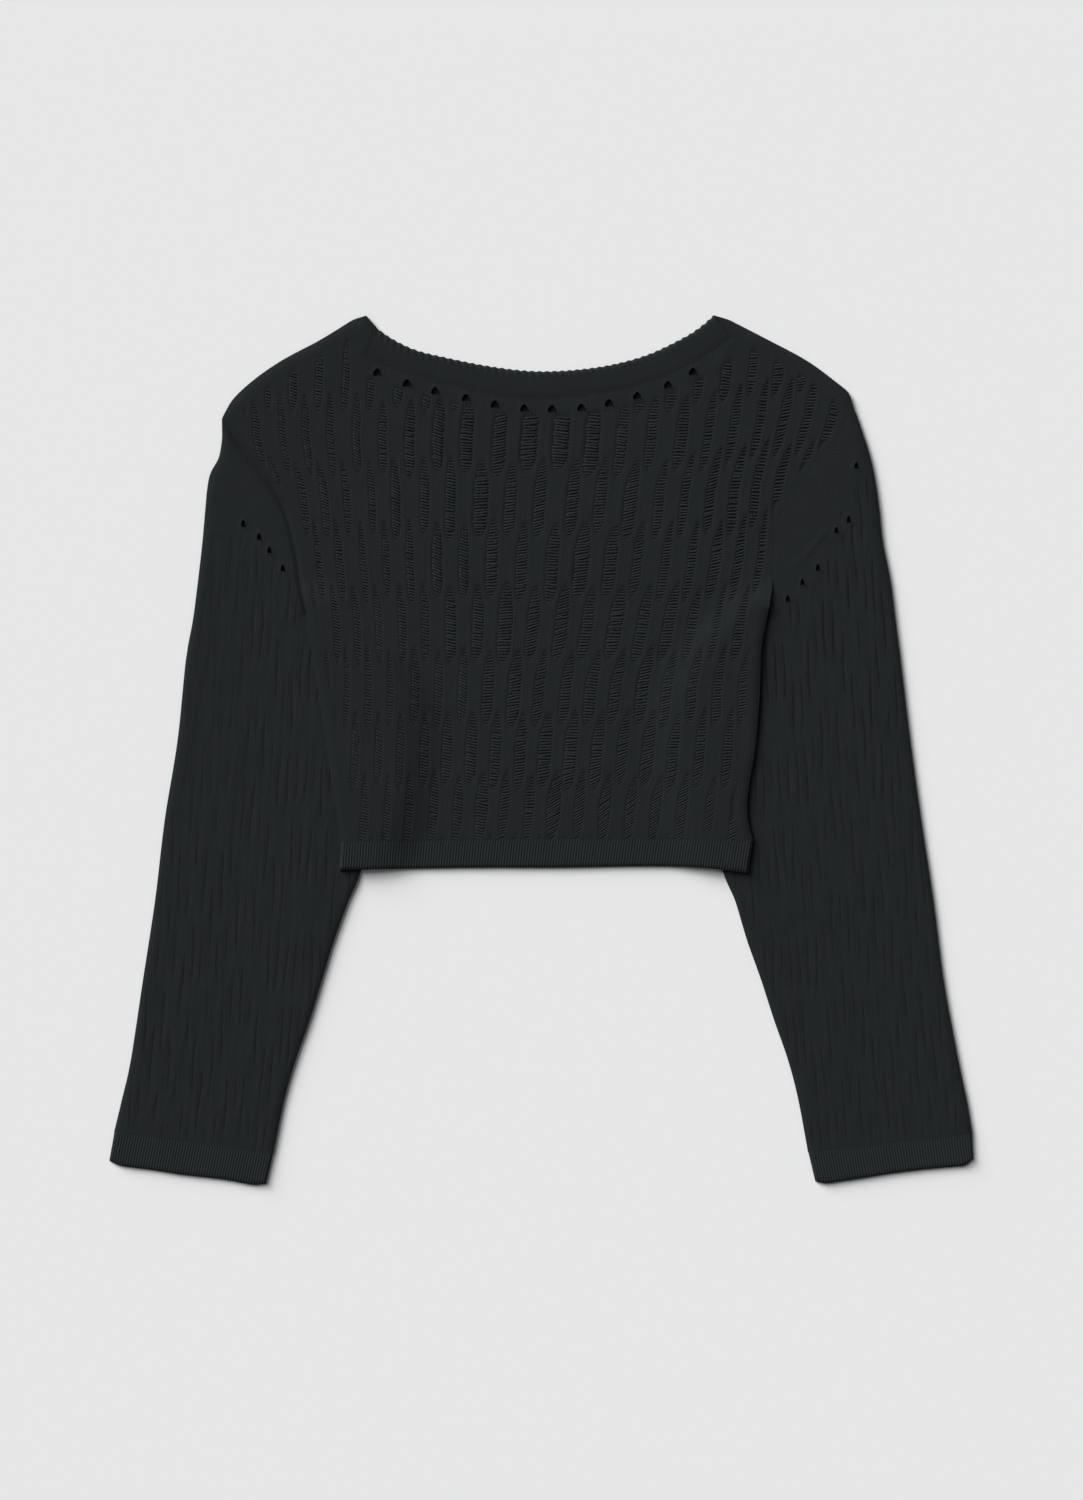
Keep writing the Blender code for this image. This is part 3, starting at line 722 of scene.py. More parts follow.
# %% How open the body's ladders are from place to place
NARROW_LADDER = 0.125  # half-widths, as a share of a column
WIDE_LADDER = 0.23
SHOULDER_LADDER = 0.165
HEM_LADDER = 0.14
OPENING = (-130, -20)  # x over which the ladders open, from the left
CLOSING = (20, 130)  # x over which they draw in again towards the right shoulder
AT_HEM = (-45, -70)  # y over which they fade towards the hem
MOST_LEAN = 0.16  # columns
LEAN_MIDDLE = -80  # x where the ladders stand upright
LEAN_REACH = 150
CHEST_MIDDLE = 20  # x
TO_SIDE = (40, 140)  # distance from it over which the ladders get clearer
UPWARDS = (40, 140)  # y over which they do
CHEST_STRENGTH = 0.85
SIDE_STRENGTH = 0.45  # what the sides add to it
HEM_FADE = 0.4
PLAIN_AT_NECK = 12.0
PLAIN_AT_SHOULDER = 9.0
PLAIN_AT_ARMHOLE = 3.0
PLAIN_AT_SIDE = 7.0
MASK_RAMP = 6.0
SHOULDER_FOOT = 250.0  # y above which the body's free edge is its shoulder

front_loops = rim_loops("front_panel")
front_steps = steps_of(front_loops[0])
neck_steps = steps_of(rim_loops("neckband_front")[0])
at_neck = sewn(front_steps, ["neckband_front"])
at_armhole = sewn(front_steps, ["left_sleeve_upper", "right_sleeve_upper"])
at_hem = sewn(front_steps, ["hem_band_front"])
at_left = at_armhole & (front_steps.mean(axis=1)[:, 0] < 0)
front_dips = np.select([at_neck, at_left, at_armhole | at_hem], [NECK_DIP, LEFT_ARMHOLE_DIP, SEAM_DIP], 0.0)
armhole_steps = front_steps[at_armhole]
shoulder_steps = front_steps[(front_dips == 0) & (front_steps.mean(axis=1)[:, 1] > SHOULDER_FOOT)]
side_steps = front_steps[(front_dips == 0) & (front_steps.mean(axis=1)[:, 1] < LIFT_ALONG[0])]


def plain_mask(spots):
    """One where the body has ladders, and nothing in the plain cloth along its edges."""
    mask = np.ones(len(spots))
    for steps, margin in (
        (neck_steps, PLAIN_AT_NECK), (shoulder_steps, PLAIN_AT_SHOULDER),
        (armhole_steps, PLAIN_AT_ARMHOLE), (side_steps, PLAIN_AT_SIDE),
    ):
        mask *= soft_step((nearest(spots, steps)[1] - margin) / MASK_RAMP)
    return mask


def body_ladder_width(spots):
    """Half the width of the ladders, in columns: drawn together on the left, open on the right."""
    x, y = spots.T
    width = between((NARROW_LADDER, WIDE_LADDER), ramp(x, *OPENING))
    width += (SHOULDER_LADDER - WIDE_LADDER) * ramp(x, *CLOSING)
    return between((width, HEM_LADDER), ramp(y, *AT_HEM))


def body_lean(spots):
    """How far the points of a ladder lean over, in columns: to the right on the right side."""
    return MOST_LEAN * np.clip((spots[:, 0] - LEAN_MIDDLE) / LEAN_REACH, -1, 1)


def body_ladder_strength(spots):
    """Depth and painted shade of the ladders: faint in the middle and at the hem, clear at both shoulders."""
    x, y = spots.T
    at_side = ramp(np.abs(x - CHEST_MIDDLE), *TO_SIDE) * ramp(y, *UPWARDS)
    return (CHEST_STRENGTH + SIDE_STRENGTH * at_side) * (1 - HEM_FADE * ramp(y, *AT_HEM))


print("steps along the armholes:", len(armhole_steps), "and along the shoulders:", len(shoulder_steps))

# %% [markdown]
# ## Creases
# Cloth that was worn and laid down keeps a few soft folds. Each one here is given as a
# straight line with a width and a height; a negative height is a trough. They fade at both ends,
# and no two are alike.

# %% Soft folds
# Columns: x and y of one end, x and y of the other, width, height
BODY_CREASES = [
    (150, 318, 128, 288, 5.0, 0.45),
    (168, 120, 158, 30, 7.0, 0.22),
    (152, 60, 160, -40, 6.0, -0.35),
    (-150, 60, -142, -50, 7.0, 0.35),
    (-120, 180, -60, 120, 12.0, 0.30),
    (60, 40, 120, 90, 16.0, -0.20),
]


def creases(spots, rows):
    height = np.zeros(len(spots))
    for x0, y0, x1, y1, width, rise in rows:
        start = np.array([x0, y0])
        edge = np.array([x1 - x0, y1 - y0])
        share = (spots - start) @ edge / (edge @ edge)
        aside = np.hypot(*(spots - start - np.clip(share, 0, 1)[:, None] * edge).T)
        fade = soft_step(2 * np.clip(share, 0, 1)) * soft_step(2 - 2 * np.clip(share, 0, 1))
        height += rise * fade * np.exp(-(aside / width) ** 2)
    return height


print(len(BODY_CREASES), "creases on the body")

# %% [markdown]
# The front is cut from its grid, and the relief is the sum of the wales, which stand a little
# proud, the ladders, which sink, the creases and the dropped edges. A lip rises round each eyelet,
# where the stitches were gathered aside. Each ladder's gap is painted dark as shade, darkest at its
# ends and along its left side, where the wale beside it shades it from the light at the upper left.
# The seam under the neckband and the fold at the left armhole are painted dark as shade too.

# %% The front
BODY_SPAN = ((-12.5, 12.5), (-0.1, 8.7))
BODY_CELLS = (25 * 15, 200)
LADDER_SINK = 0.6
WALE_RISE = 0.1
NECK_SEAM_SHADE = 0.6  # painted shade along the neckband's seam, where the cloth dips
NECK_SEAM_WIDTH = 1.7
EYELET_LIP = 0.3
LIP_REACH = 1.6
WALE_WIDTH = 0.14  # of the raised cloth beside a ladder, as a share of a column
ARMHOLE_LOW = (230, 170)  # y over which the painted shade of the fold at the left armhole becomes a thin line
ARMHOLE_SHADE_STRENGTH = (0.4, 0.65)  # how strong that painted shade is at its top and lower down
ARMHOLE_WIDE = (8.0, 2.5)  # and how wide
LEFT_SIDE_FLAT = 0.6  # how much less the cloth rolls down at its left side than elsewhere
LEFT_SIDE = (0, -60)  # x over which this begins
BELOW_ARM = (140, 100)  # y over which it does
EYELET_TURN = math.pi  # an eyelet has no sharp corners
LADDER_GAP_SHADE = (0.5, 0.9)  # painted shade of a ladder's gap, in its middle and at its ends
SHADE_OF_WALE = 0.95  # painted shadow of the wale along a ladder's left side, with the light from the upper left
SHADE_WIDTH = 0.07  # width of that painted shadow, as a share of a column
LEAST_DEPTH = 0.5  # share of its sink that the faintest ladder would have


def cut_loops(node):
    """The smooth rim of a piece, drawn out over its seams, with its eyelets."""
    rim, *eyelets = rim_loops(node)
    rim = grown(rounded(rim, CURVE_PARTS), SEAM_LAP)
    return [rim] + [rounded(loop, CURVE_PARTS, EYELET_TURN) for loop in eyelets]


def eyelet_lips(spots, loops):
    if len(loops) == 1:
        return np.zeros(len(spots))
    gap = nearest(spots, np.concatenate([steps_of(loop) for loop in loops[1:]]))[1]
    return EYELET_LIP * np.exp(-(gap / LIP_REACH) ** 2)


def armhole_shade(spots):
    """Painted shade of the fold at the left armhole: broad at its top and a thin dark line lower down."""
    distance = nearest(spots, armhole_steps[armhole_steps.mean(axis=1)[:, 0] < 0])[1]
    lower = ramp(spots[:, 1], *ARMHOLE_LOW)
    return between(ARMHOLE_SHADE_STRENGTH, lower) * soft_step(1 - distance / between(ARMHOLE_WIDE, lower))


def body_relief(spots, column, level):
    """Height of the front over its upper level, and the painted shade of its ladders."""
    mask = plain_mask(spots)
    strength = body_ladder_strength(spots)
    width, lean = body_ladder_width(spots), body_lean(spots)
    opened, ending = openness(column, level, width, lean)
    opened *= mask
    beside, _ = openness(column, level, width + WALE_WIDTH, lean)
    sink = (LADDER_SINK + WALE_RISE) * between((LEAST_DEPTH, 1), strength)
    # Painted shadow: the wale on a ladder's left shades it from the upper-left light
    to_left, _ = openness(column - SHADE_WIDTH, level, width, lean)
    painted_wale_shadow = SHADE_OF_WALE * opened * (1 - to_left)
    # Painted shade in the ladder's gap, stronger towards its ends
    painted_gap_shade = opened * between(LADDER_GAP_SHADE, ending)
    return WALE_RISE * beside * mask - sink * opened, np.minimum(1, strength * np.maximum(painted_gap_shade, painted_wale_shadow))


def make_front():
    loops = cut_loops("front_panel")
    mesh, spots, column, level = cut_cloth("front_knit", loops, BODY_SPAN, BODY_CELLS, body_place)
    relief, gap = body_relief(spots, column, level)
    at_left_side = ramp(spots[:, 0], *LEFT_SIDE) * ramp(spots[:, 1], *BELOW_ARM)
    height = (
        body_lift(spots) + UPPER_TOP + relief + creases(spots, BODY_CREASES) + eyelet_lips(spots, loops)
        - edge_drop(spots, front_steps, front_dips) * (1 - LEFT_SIDE_FLAT * at_left_side)
    )
    # Painted shade along the seam under the neckband
    gap = np.maximum(gap, NECK_SEAM_SHADE * soft_step(1 - nearest(spots, neck_steps)[1] / NECK_SEAM_WIDTH))
    # Painted shade in the fold at the left armhole
    gap = np.maximum(gap, armhole_shade(spots))
    mark_knitting(mesh, column * BODY_COLUMN, level * BAND_HEIGHT, gap)
    place_vertices(mesh, spots, height)
    return finish_cloth("front_knit", mesh, CLOTH_WALL, jersey, shaded_inside_yarn, "body_knit", ["front_panel"])


front_knit = make_front()
print("front:", len(front_knit.data.polygons), "faces before its wall")

# %% [markdown]
# ## The floats
# A dropped stitch leaves its yarn as a loose float across the ladder, one for each course. There
# are thousands of them, all alike, so one short tube is made and repeated by an Array modifier.

# %% One float and its copies
FLOAT_SIDES = 4
FLOAT_CUTS = 2


def float_copies(count):
    """A mesh of many copies of one float, a unit tube along z, and the places of one copy's vertices."""
    tube = bmesh.new()
    bmesh.ops.create_cone(tube, segments=FLOAT_SIDES, radius1=1.0, radius2=1.0, depth=1.0, cap_ends=True)
    uprights = [edge for edge in tube.edges if edge.verts[0].co.z * edge.verts[1].co.z < 0]
    bmesh.ops.subdivide_edges(tube, edges=uprights, cuts=FLOAT_CUTS)
    unit = np.array([vertex.co[:] for vertex in tube.verts])
    carrier = new_object("one_float", mesh_of("one_float", tube))
    array = carrier.modifiers.new("copies", "ARRAY")
    array.count = count
    array.use_relative_offset = False
    mesh = bpy.data.meshes.new_from_object(carrier.evaluated_get(bpy.context.evaluated_depsgraph_get()))
    bpy.data.objects.remove(carrier)
    return mesh, unit


print("a float has", FLOAT_SIDES * (FLOAT_CUTS + 1) + 2, "faces")

# %% [markdown]
# Each copy is then moved onto its own float, between the two wales that carry it. The floats of one
# ladder lie nearly side by side, and their slope changes from ladder to ladder. What looks random
# comes from a seed, so that it is the same each time.

# %% Floats across the ladders
FLOAT_PITCH = 2.3 / BAND_HEIGHT  # in bands
FLOAT_HALF = 0.95  # half of a float's width, as it lies flat
FLOAT_THICK = 0.3
FLOAT_DEPTH = 0.3  # its middle below the top of the wales
FLOAT_SAG = 0.1
SHORTEST_FLOAT = 1.6
LEFT_SHARE = 0.84  # a float goes under the wale on its left, which casts a shade on it
FLOAT_LENGTHS = (0.85, 1.15)  # least and most, against the ladder's width
FLOAT_WIDTHS = (0.8, 1.1)  # and of its width, against the usual one
END_WIDTH = 0.45  # width of a float at the end of a ladder, against one in its middle
COURSE_STRAY = 0.08  # of a float from its course, in pitches
SLOPE_RANGE = 0.4  # of the floats' slope from ladder to ladder
SLOPE_STRAY = 0.06  # and from float to float
uneven = np.random.default_rng(11)


def ladder_floats(name, place, columns, bands, form, surface, column_width):
    """Lays a float across each course of each ladder.

    form gives, for places on the cloth, half the ladder's width and its lean in columns, the slope of
    the floats and whether any show. surface gives the top of the wales.
    """
    courses = np.arange(-2 * OVERLAP, 1 + 2 * OVERLAP, FLOAT_PITCH)
    ladders = np.arange(columns[0], columns[1] + 1)
    ladder, band, course = (axis.ravel() for axis in np.meshgrid(ladders, np.arange(*bands), courses))
    column = ladder + 0.5 * (band % 2 == 0)
    level = band + course + uneven.normal(0, COURSE_STRAY, len(band)) * FLOAT_PITCH
    half_width, lean, slope, shown = form(place(column, level))
    narrowed, column, _ = ladder_shape(column, level, band, lean)
    reach = half_width * between(OWN_WIDTH, uneven_share(ladder, band)) * narrowed
    slope = slope + SLOPE_RANGE * (uneven_share(band, ladder, 1) - 0.5)
    slope += uneven.normal(0, SLOPE_STRAY, len(band))
    kept = shown & (2 * reach * column_width > SHORTEST_FLOAT)
    column, level, slope, narrowed = column[kept], level[kept], slope[kept], narrowed[kept]
    reach = (reach[kept] + LADDER_LIP / 2) * uneven.uniform(*FLOAT_LENGTHS, kept.sum())
    count = len(column)

    mesh, unit = float_copies(count)
    across = np.tile(np.where(unit[:, 2] < 0, LEFT_SHARE, 1) * unit[:, 2], count)
    own = np.repeat(np.arange(count), len(unit))
    thinned = (uneven.uniform(*FLOAT_WIDTHS, count) * between((END_WIDTH, 1), narrowed))[own]
    spots = place(column, level)[own]
    spots[:, 0] += 2 * reach[own] * column_width * across
    spots[:, 1] += 2 * reach[own] * column_width * across * slope[own]
    height = surface(spots) - FLOAT_DEPTH - FLOAT_SAG * (1 - (2 * across) ** 2)
    spots[:, 1] += FLOAT_HALF * thinned * np.tile(unit[:, 1], count)
    height += FLOAT_THICK * thinned * np.tile(unit[:, 0], count)
    place_vertices(mesh, spots, height)
    mark_knitting(mesh, column[own] * column_width, level[own] * BAND_HEIGHT, np.zeros(len(own)))
    mesh.materials.clear()
    mesh.materials.append(float_yarn)
    mesh.shade_smooth()
    floats = new_object(name, mesh)
    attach(floats, "root")
    return floats


print(f"floats lie {FLOAT_PITCH * BAND_HEIGHT:.1f} mm apart")

# %% [markdown]
# On the front the floats are level at the upper right, steep at the lower right, and slope the other
# way on the left. None is laid where the cloth is plain or an eyelet is near.

# %% The floats of the front
LADDERS_SHOW = 0.6  # value of the mask from which floats are laid
CLEAR_OF_EYELET = 3.0
LOW_RIGHT = ((5, -35), (-20, 40))  # y and x over which the floats get steep at the lower right
LOW_RIGHT_SLOPE = 0.6
ON_LEFT = (-20, -80)  # x over which they slope the other way
LEFT_SLOPE = -0.5
MEAN_SLOPE = 0.05


def body_float_form(spots):
    """The ladders' form, and the slope of the floats: level on the right, steep at the lower right."""
    x, y = spots.T
    gap_to_eyelet = nearest(spots, np.concatenate([steps_of(loop) for loop in front_loops[1:]]))[1]
    shown = inside(spots, front_loops[0]) & (plain_mask(spots) > LADDERS_SHOW)
    shown &= gap_to_eyelet > CLEAR_OF_EYELET
    slope = MEAN_SLOPE + LEFT_SLOPE * ramp(x, *ON_LEFT)
    slope += LOW_RIGHT_SLOPE * ramp(y, *LOW_RIGHT[0]) * ramp(x, *LOW_RIGHT[1])
    return body_ladder_width(spots), body_lean(spots), slope, shown


def body_top(spots):
    return body_lift(spots) + UPPER_TOP + creases(spots, BODY_CREASES)


body_floats = ladder_floats(
    "front_floats", body_place, (-13, 13), (-1, 9), body_float_form, body_top, BODY_COLUMN
)
print("floats on the front:", len(body_floats.data.polygons), "faces")

# %% [markdown]
# ## The back and the under layers
# These layers are seen through the eyelets, at the edges and from below, where the garment rests
# on its plain underside. They are the same cut as the layers over them, with a full wall, and
# their inner face is the wrong side of the jersey, painted darker as the shade inside the garment.

# %% The plain layers underneath
UNDER_WALL = UNDER_TOP - 0.05
BACK_CELLS = (25 * 8, 110)
SLEEVE_SPAN = ((-3.0, 14.0), (-0.3, 12.4))
SLEEVE_BACK_CELLS = (17 * 6, 150)


def make_under_layer(name, node, span, cells, place, lift, column_width, outer, slot):
    mesh, spots, column, level = cut_cloth(name, cut_loops(node), span, cells, place)
    mark_knitting(mesh, column * column_width, level * BAND_HEIGHT, np.zeros(len(spots)))
    place_vertices(mesh, spots, lift(spots) + UNDER_TOP)
    return finish_cloth(name, mesh, UNDER_WALL, shaded_inside_yarn, outer, slot, [node])


def facing(span, side):
    """The span of a sleeve's columns, run the way that keeps the grid's faces up."""
    return (span[0][::-1], span[1]) if side > 0 else span


back_cloth = make_under_layer(
    "back_cloth", "back_panel", BODY_SPAN, BACK_CELLS, body_place, body_lift, BODY_COLUMN, jersey,
    "body_knit",
)
under_sleeves = {
    side: make_under_layer(
        f"{side}_sleeve_back", f"{side}_sleeve_under", facing(SLEEVE_SPAN, sign), SLEEVE_BACK_CELLS,
        sleeve_map(f"{side}_sleeve_under", sign), no_lift, SLEEVE_COLUMN, jersey, "sleeve_knit",
    )
    for side, sign in (("left", -1), ("right", 1))
}
print("back:", len(back_cloth.data.polygons), "faces before its wall")

# %% [markdown]
# ## The sleeves
# The sleeves are not stretched, so their ladders are drawn closed to soft valleys, and the wales
# lie close together. Thin lines sink between the wales and are painted dark as shade: they come and
# go, wander a little and are clearest at the top of the right sleeve. Above its row of eyelets each
# sleeve is plain.

# %% Lines between the wales of a sleeve
SLIT_HALF = 0.075  # half of a line's width, as a share of a column
SLIT_WANDER = 0.035  # how far each wave moves it
WANDER_WAVES = ((2.3, 1.9), (5.1, -2.7))  # how fast each wave turns, for each level and column
QUICK_WAVE = 4.3  # how fast a line comes and goes, for each level
SLOW_WAVE = 2.2
SLOW_SHARE = 0.8
PLAIN_AT_EDGE = 4.0
PLAIN_BELOW_EYELETS = 6.0


def eyelet_line(loops):
    """The row of eyelets as a line that runs to the right."""
    middles = np.array([loop.mean(axis=0) for loop in loops[1:]])
    return middles[np.argsort(middles[:, 0])]


def sleeve_mask(spots, loops, steps):
    """One where a sleeve has ladders: below its eyelets and clear of its edges."""
    row = eyelet_line(loops)
    below = np.interp(spots[:, 0], row[:, 0], row[:, 1]) - PLAIN_BELOW_EYELETS - spots[:, 1]
    edge = nearest(spots, steps)[1]
    return soft_step(below / MASK_RAMP) * soft_step((edge - PLAIN_AT_EDGE / 2) / PLAIN_AT_EDGE)


def wandering(column, level):
    """The columns of a sleeve, with the slow wander of its wales."""
    waves = sum(np.sin(along * level + across * column) for along, across in WANDER_WAVES)
    return column + SLIT_WANDER * waves


def slits(column, level):
    """The thin lines between the wales, two to a column, each of which comes and goes by itself."""
    drawn = np.zeros(len(column))
    for step in (0.0, 0.5):
        line = np.round(column - step) + step
        phase = 2 * np.pi * uneven_share(line, 7)
        comes = np.sin(QUICK_WAVE * level + phase) + SLOW_SHARE * np.sin(SLOW_WAVE * level - 2 * phase)
        drawn = np.maximum(drawn, soft_step(1 - np.abs(column - line) / SLIT_HALF) * soft_step(0.5 + comes))
    return drawn


RIGHT_SLITS = (0.7, 1.0)  # how clear the lines are low down, and at the top of the right sleeve
RIGHT_TOP = (-60, 40)  # y
LEFT_SLITS = (0.75, 0.3)  # and on the left sleeve, at its body side and at its upper outer edge
LEFT_TOP = (-100, 0)  # y
LEFT_OUTER = (-215, -245)  # x


def slit_strength(spots, side):
    """How clearly the lines show: most at the top of the right sleeve, least at the left's outer edge."""
    x, y = spots.T
    if side == "right":
        return between(RIGHT_SLITS, ramp(y, *RIGHT_TOP))
    return between(LEFT_SLITS, ramp(y, *LEFT_TOP) * ramp(x, *LEFT_OUTER))


print(f"the lines wander by up to {2 * SLIT_WANDER * SLEEVE_COLUMN:.1f} mm")

# %% [markdown]
# The lines sink and are painted dark as shade, the closed ladders are soft valleys, and the edge of
# the body presses the sleeve down a little beside it.

# %% The sleeves
SLEEVE_CELLS = (17 * 16, 224)
SLIT_SINK = 0.5
VALLEY_HALF = 0.25  # half of a closed ladder's width, and how far its end leans, in columns
VALLEY_LEAN = 0.1
VALLEY_SINK = 0.12
PRESS_REACH = 5.0
PRESS_SINK = {"left": 0.15, "right": 0.3}

# Columns: x and y of one end, x and y of the other, width, height
SLEEVE_CREASES = {
    "left": [
        (-262, 150, -290, -60, 9.0, 0.35),
        (-215, 60, -245, -180, 12.0, -0.30),
        (-170, -60, -205, -230, 10.0, 0.30),
        (-285, -120, -310, -270, 8.0, -0.25),
    ],
    "right": [
        (194, 139, 232, 182, 1.8, 0.60),
        (252, 235, 262, 60, 7.0, 0.40),
        (228, 140, 238, 20, 8.0, -0.35),
        (262, 40, 292, -200, 11.0, 0.30),
        (182, -90, 222, -260, 12.0, -0.30),
    ],
}


def make_sleeve(side, sign):
    node = f"{side}_sleeve_upper"
    loops = cut_loops(node)
    steps = steps_of(rim_loops(node)[0])
    at_body = sewn(steps, ["front_panel"])
    at_cuff = sewn(steps, [f"{side}_cuff_upper"])
    dips = np.select([at_body, at_cuff], [LEFT_ARMHOLE_DIP if side == "left" else SEAM_DIP, SEAM_DIP], 0.0)
    mesh, spots, column, level = cut_cloth(
        f"{side}_sleeve_knit", loops, facing(SLEEVE_SPAN, sign), SLEEVE_CELLS, sleeve_map(node, sign)
    )
    mask = sleeve_mask(spots, loops, steps)
    wander = wandering(column, level)
    # The painted shade of the left armhole's fold runs on onto the left sleeve
    shade = armhole_shade(spots) if side == "left" else 0.0
    pressed = PRESS_SINK[side] * soft_step(1 - nearest(spots, side_steps)[1] / PRESS_REACH)
    slit = slits(wander, level) * mask * slit_strength(spots, side)
    valley, _ = openness(wander, level, VALLEY_HALF, VALLEY_LEAN)
    height = (
        UPPER_TOP - SLIT_SINK * slit - VALLEY_SINK * valley * mask
        + creases(spots, SLEEVE_CREASES[side]) + eyelet_lips(spots, loops)
        - edge_drop(spots, steps, dips) - pressed
    )
    # Painted shade: the lines between the wales, and the left armhole's fold, go into the knit map
    mark_knitting(mesh, column * SLEEVE_COLUMN, level * BAND_HEIGHT, np.minimum(1, slit + shade))
    place_vertices(mesh, spots, height)
    return finish_cloth(mesh.name, mesh, CLOTH_WALL, drawn_jersey, shaded_inside_yarn, "sleeve_knit", [node])


upper_sleeves = {side: make_sleeve(side, sign) for side, sign in (("left", -1), ("right", 1))}
print("left sleeve:", len(upper_sleeves["left"].data.polygons), "faces before its wall")

# %% [markdown]
# ## Ribbed bands
# Each band is a strip between its seam and its free edge, with ribs that run from one to the
# other. The neckband is almost smooth, and its rib shows as small scallops along its free edge.
# The hem and the cuffs have a clear one-by-one rib. A grid is laid between the two edges of the
# solid's rim, so the ribs fan out with it, and each rib is a wave with rounded crests.

# %% Make a ribbed band
BAND_ROWS = 14  # cells from the seam to the free edge
BAND_FOLD = 3.0  # how far in from a free edge a band rolls down
SCALLOP_REACH = 3 * BAND_FOLD
RIB_AT_SEAM = 0.2  # share of a rib's depth at the seam


def band_edges(node, neighbour):
    """The lower and upper long edges of a band, both run to the right, and whether the upper is free."""
    long_sides = sorted(sides_of(rim_loops(node)[0]), key=line_length)[-2:]
    others = steps_of(rim_loops(neighbour)[0])
    lower, upper = sorted(long_sides, key=lambda line: line[:, 1].mean())
    gaps = [nearest(line, others)[1].mean() for line in (lower, upper)]
    lower, upper = (line if line[0, 0] < line[-1, 0] else line[::-1] for line in (lower, upper))
    return lower, upper, gaps[1] > gaps[0]


def smooth_open(line, parts):
    """An open line with each step split in parts on a smooth curve."""
    closed = rounded(np.concatenate([line, line[-2:0:-1]]), parts, SHARP_TURN)
    return closed[:(len(line) - 1) * parts + 1]


def make_band(name, node, neighbour, pattern, lift, outer, slot):
    """A band with ribs. A rib depth of nothing gives a plain one, ribbed by its material alone."""
    ribs, cells_per_rib, depth, edge_depth, scallop, scallops, rib_trough_shade = pattern
    is_upper = depth > 0
    lower, upper, upper_is_free = band_edges(node, neighbour)
    lower, upper = smooth_open(lower, CURVE_PARTS), smooth_open(upper, CURVE_PARTS)
    grid, along, across = unit_grid((ribs * cells_per_rib, BAND_ROWS))
    low, high = along_line(lower, along), along_line(upper, along)
    width = np.hypot(*(high - low).T)
    length = line_length(lower)
    outward = (high - low) / width[:, None] * (1 if upper_is_free else -1)
    from_free = (1 - across if upper_is_free else across) * width
    from_seam = width - from_free
    crest = 0.5 + 0.5 * np.cos(2 * np.pi * ribs * along)
    bulge = 0.5 + 0.5 * np.cos(2 * np.pi * scallops * along)
    shift = scallop * (bulge - 1) * soft_step(1 - from_free / SCALLOP_REACH)
    shift -= SEAM_LAP * soft_step(1 - from_seam / BAND_FOLD)
    spots = low + (high - low) * across[:, None] + outward * shift[:, None]
    from_end = np.minimum(along, 1 - along) * length
    if edge_depth:
        spots[:, 0] += SEAM_LAP * np.sign(along - 0.5) * soft_step(1 - from_end / BAND_FOLD)
        from_end = from_free
    fold = np.clip(1 - np.minimum(from_free, from_end) / BAND_FOLD, 0, 1)
    height = lift(spots) + (UPPER_TOP if is_upper else UNDER_TOP)
    height -= depth * (1 - crest) * soft_step(from_seam / BAND_FOLD + RIB_AT_SEAM)
    height -= edge_depth * (1 - bulge) * soft_step(1 - from_free / SCALLOP_REACH)
    if is_upper:
        height -= FOLD_DROP * (1 - np.sqrt(1 - fold ** 2))
        height -= (NECK_DIP if edge_depth else SEAM_DIP) * soft_step(1 - from_seam / SEAM_DIP_REACH)
    mesh = mesh_of(name, grid)
    # Painted shade in the troughs between the ribs
    mark_knitting(mesh, along * length, across * width, rib_trough_shade * (1 - crest))
    place_vertices(mesh, spots, height)
    faces = (outer, shaded_inside_yarn) if is_upper else (shaded_inside_yarn, outer)
    return finish_cloth(name, mesh, BAND_WALL if is_upper else UNDER_WALL, *faces, slot, [node])


print("rows across a band:", BAND_ROWS)

# %% [markdown]
# The counts come from the photograph's scallops on the neckband, 6.2 mm apart, and from the fine
# ribs of about 2.1 mm that just show on the hem and the cuffs.

# %% The bands
BAND_WALL = 0.8

# Columns: ribs, cells to a rib, rib depth, depth and length of the scallops, their number, painted shade in
# the rib troughs
NECK_RIB = (144, 4, 0.10, 0.45, 0.75, 48, 0.06)
NECK_INNER = (144, 2, 0.0, 0.0, 0.75, 48, 0.0)
HEM_RIB = (150, 6, 0.5, 0.0, 0.2, 150, 0.45)
HEM_INNER = (150, 1, 0.0, 0.0, 0.0, 150, 0.0)
CUFF_RIB = (60, 6, 0.45, 0.0, 0.2, 60, 0.3)
CUFF_INNER = (60, 1, 0.0, 0.0, 0.0, 60, 0.0)

# Columns: piece, node, neighbour, pattern, lift, material, slot
BANDS = [
    ("neckband_rib", "neckband_front", "front_panel", NECK_RIB, no_lift, rib_yarn, "neck_rib"),
    ("neckband_inner", "neckband_back", "back_panel", NECK_INNER, no_lift, rib_yarn, "neck_rib"),
    ("hem_rib", "hem_band_front", "front_panel", HEM_RIB, body_lift, fine_rib_yarn, "fine_rib"),
    ("hem_inner", "hem_band_back", "back_panel", HEM_INNER, body_lift, fine_rib_yarn, "fine_rib"),
]
for side in ("left", "right"):
    for layer, twin, pattern in (("upper", "rib", CUFF_RIB), ("under", "inner", CUFF_INNER)):
        BANDS.append((
            f"{side}_cuff_{twin}", f"{side}_cuff_{layer}", f"{side}_sleeve_{layer}", pattern, no_lift,
            fine_rib_yarn, "fine_rib",
        ))

bands = {row[0]: make_band(*row) for row in BANDS}
print("bands:", ", ".join(bands))

# %% [markdown]
# ## Sheets of cloth
# declare only reads each piece's outer rim from its solid, and does nothing with it.

def declare(node):
    loop = rim_loops(node)[0]


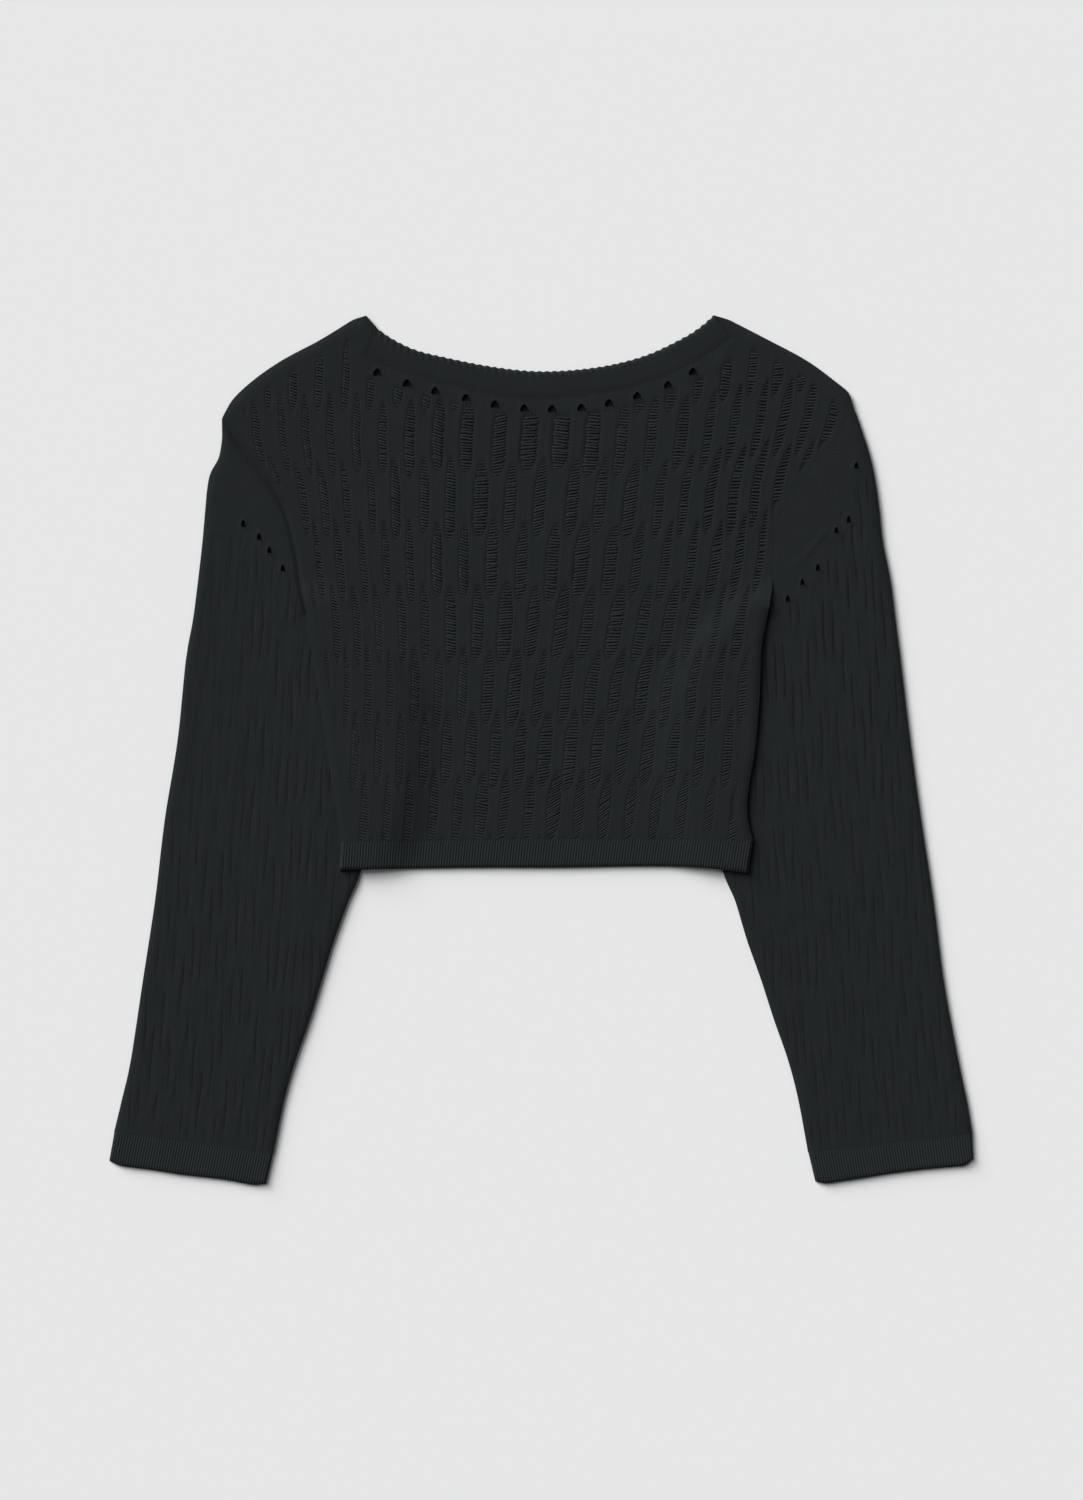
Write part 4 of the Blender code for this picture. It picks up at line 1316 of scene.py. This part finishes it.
declare("front_panel")
declare("back_panel")
for side in ("left", "right"):
    declare(f"{side}_sleeve_upper")
    declare(f"{side}_sleeve_under")
for piece, node, *_ in BANDS:
    declare(node)

# %% [markdown]
# ## The setting
# The garment lies on plain pale paper under soft studio light from the upper left, and the camera
# looks straight down from far enough that its edges don't lean. The photograph's frame is
# 1083 by 1500 pixels, at 0.78 mm each on the garment. The view transform is Standard, as a plain
# product picture has no film curve, so the sRGB values of the cloth and the paper can be compared.

# %% Floor, light and camera
PIXEL = 0.78
FRAME_TALL = 1500
SENSOR = 36.0
CAMERA_HEIGHT = 4.0  # metres, as are the next three
VIEW_MIDDLE = (0.0002, 0.0004)
FLOOR_SIZE = 6.0
FLOOR_DROP = 0.0003
LIGHT_BEARING = 45.0  # degrees, from the left towards the top of the picture
SKY_STRENGTH = 0.15


def paper_floor():
    sheet = bmesh.new()
    bmesh.ops.create_grid(sheet, x_segments=1, y_segments=1, size=FLOOR_SIZE / 2)
    bmesh.ops.translate(sheet, verts=sheet.verts, vec=(0, 0, -FLOOR_DROP))
    mesh = mesh_of("floor", sheet)
    floor = new_object("floor", mesh)
    paper = bpy.data.materials.new("matt_backdrop_paper")
    paper.use_nodes = True
    shader = paper.node_tree.nodes["Principled BSDF"]
    shader.inputs["Base Color"].default_value = linear("#e9e9e9")
    shader.inputs["Roughness"].default_value = 0.9
    shader.inputs["Specular IOR Level"].default_value = 0.1
    mesh.materials.append(paper)


def broad_sun(name, strength, height, spread):
    """A wide soft light from the upper left, which lights the paper evenly. Angles in degrees."""
    sun = bpy.data.lights.new(name, "SUN")
    sun.energy = strength
    sun.angle = math.radians(spread)
    holder = new_object(name, sun)
    holder.rotation_euler = (0, math.radians(height - 90), math.radians(-LIGHT_BEARING))


def look_down():
    bpy.context.scene.view_settings.view_transform = "Standard"
    lens = bpy.data.cameras.new("view_from_above")
    lens.sensor_width = SENSOR
    lens.lens = SENSOR * CAMERA_HEIGHT / (FRAME_TALL * PIXEL * MILLIMETRE)
    camera = new_object("view_from_above", lens)
    camera.location = (*VIEW_MIDDLE, CAMERA_HEIGHT)
    bpy.context.scene.camera = camera
    return camera


def studio_air():
    world = bpy.data.worlds.new("pale_studio")
    world.use_nodes = True
    background = world.node_tree.nodes["Background"]
    background.inputs["Color"].default_value = linear("#f4f6f8")
    background.inputs["Strength"].default_value = SKY_STRENGTH
    bpy.context.scene.world = world


paper_floor()
broad_sun("low_window_light", 3.3, 20.0, 28.0)
broad_sun("high_window_light", 2.4, 39.0, 44.0)
studio_air()
camera = look_down()
print(f"lens {camera.data.lens:.1f} mm at {CAMERA_HEIGHT} m")
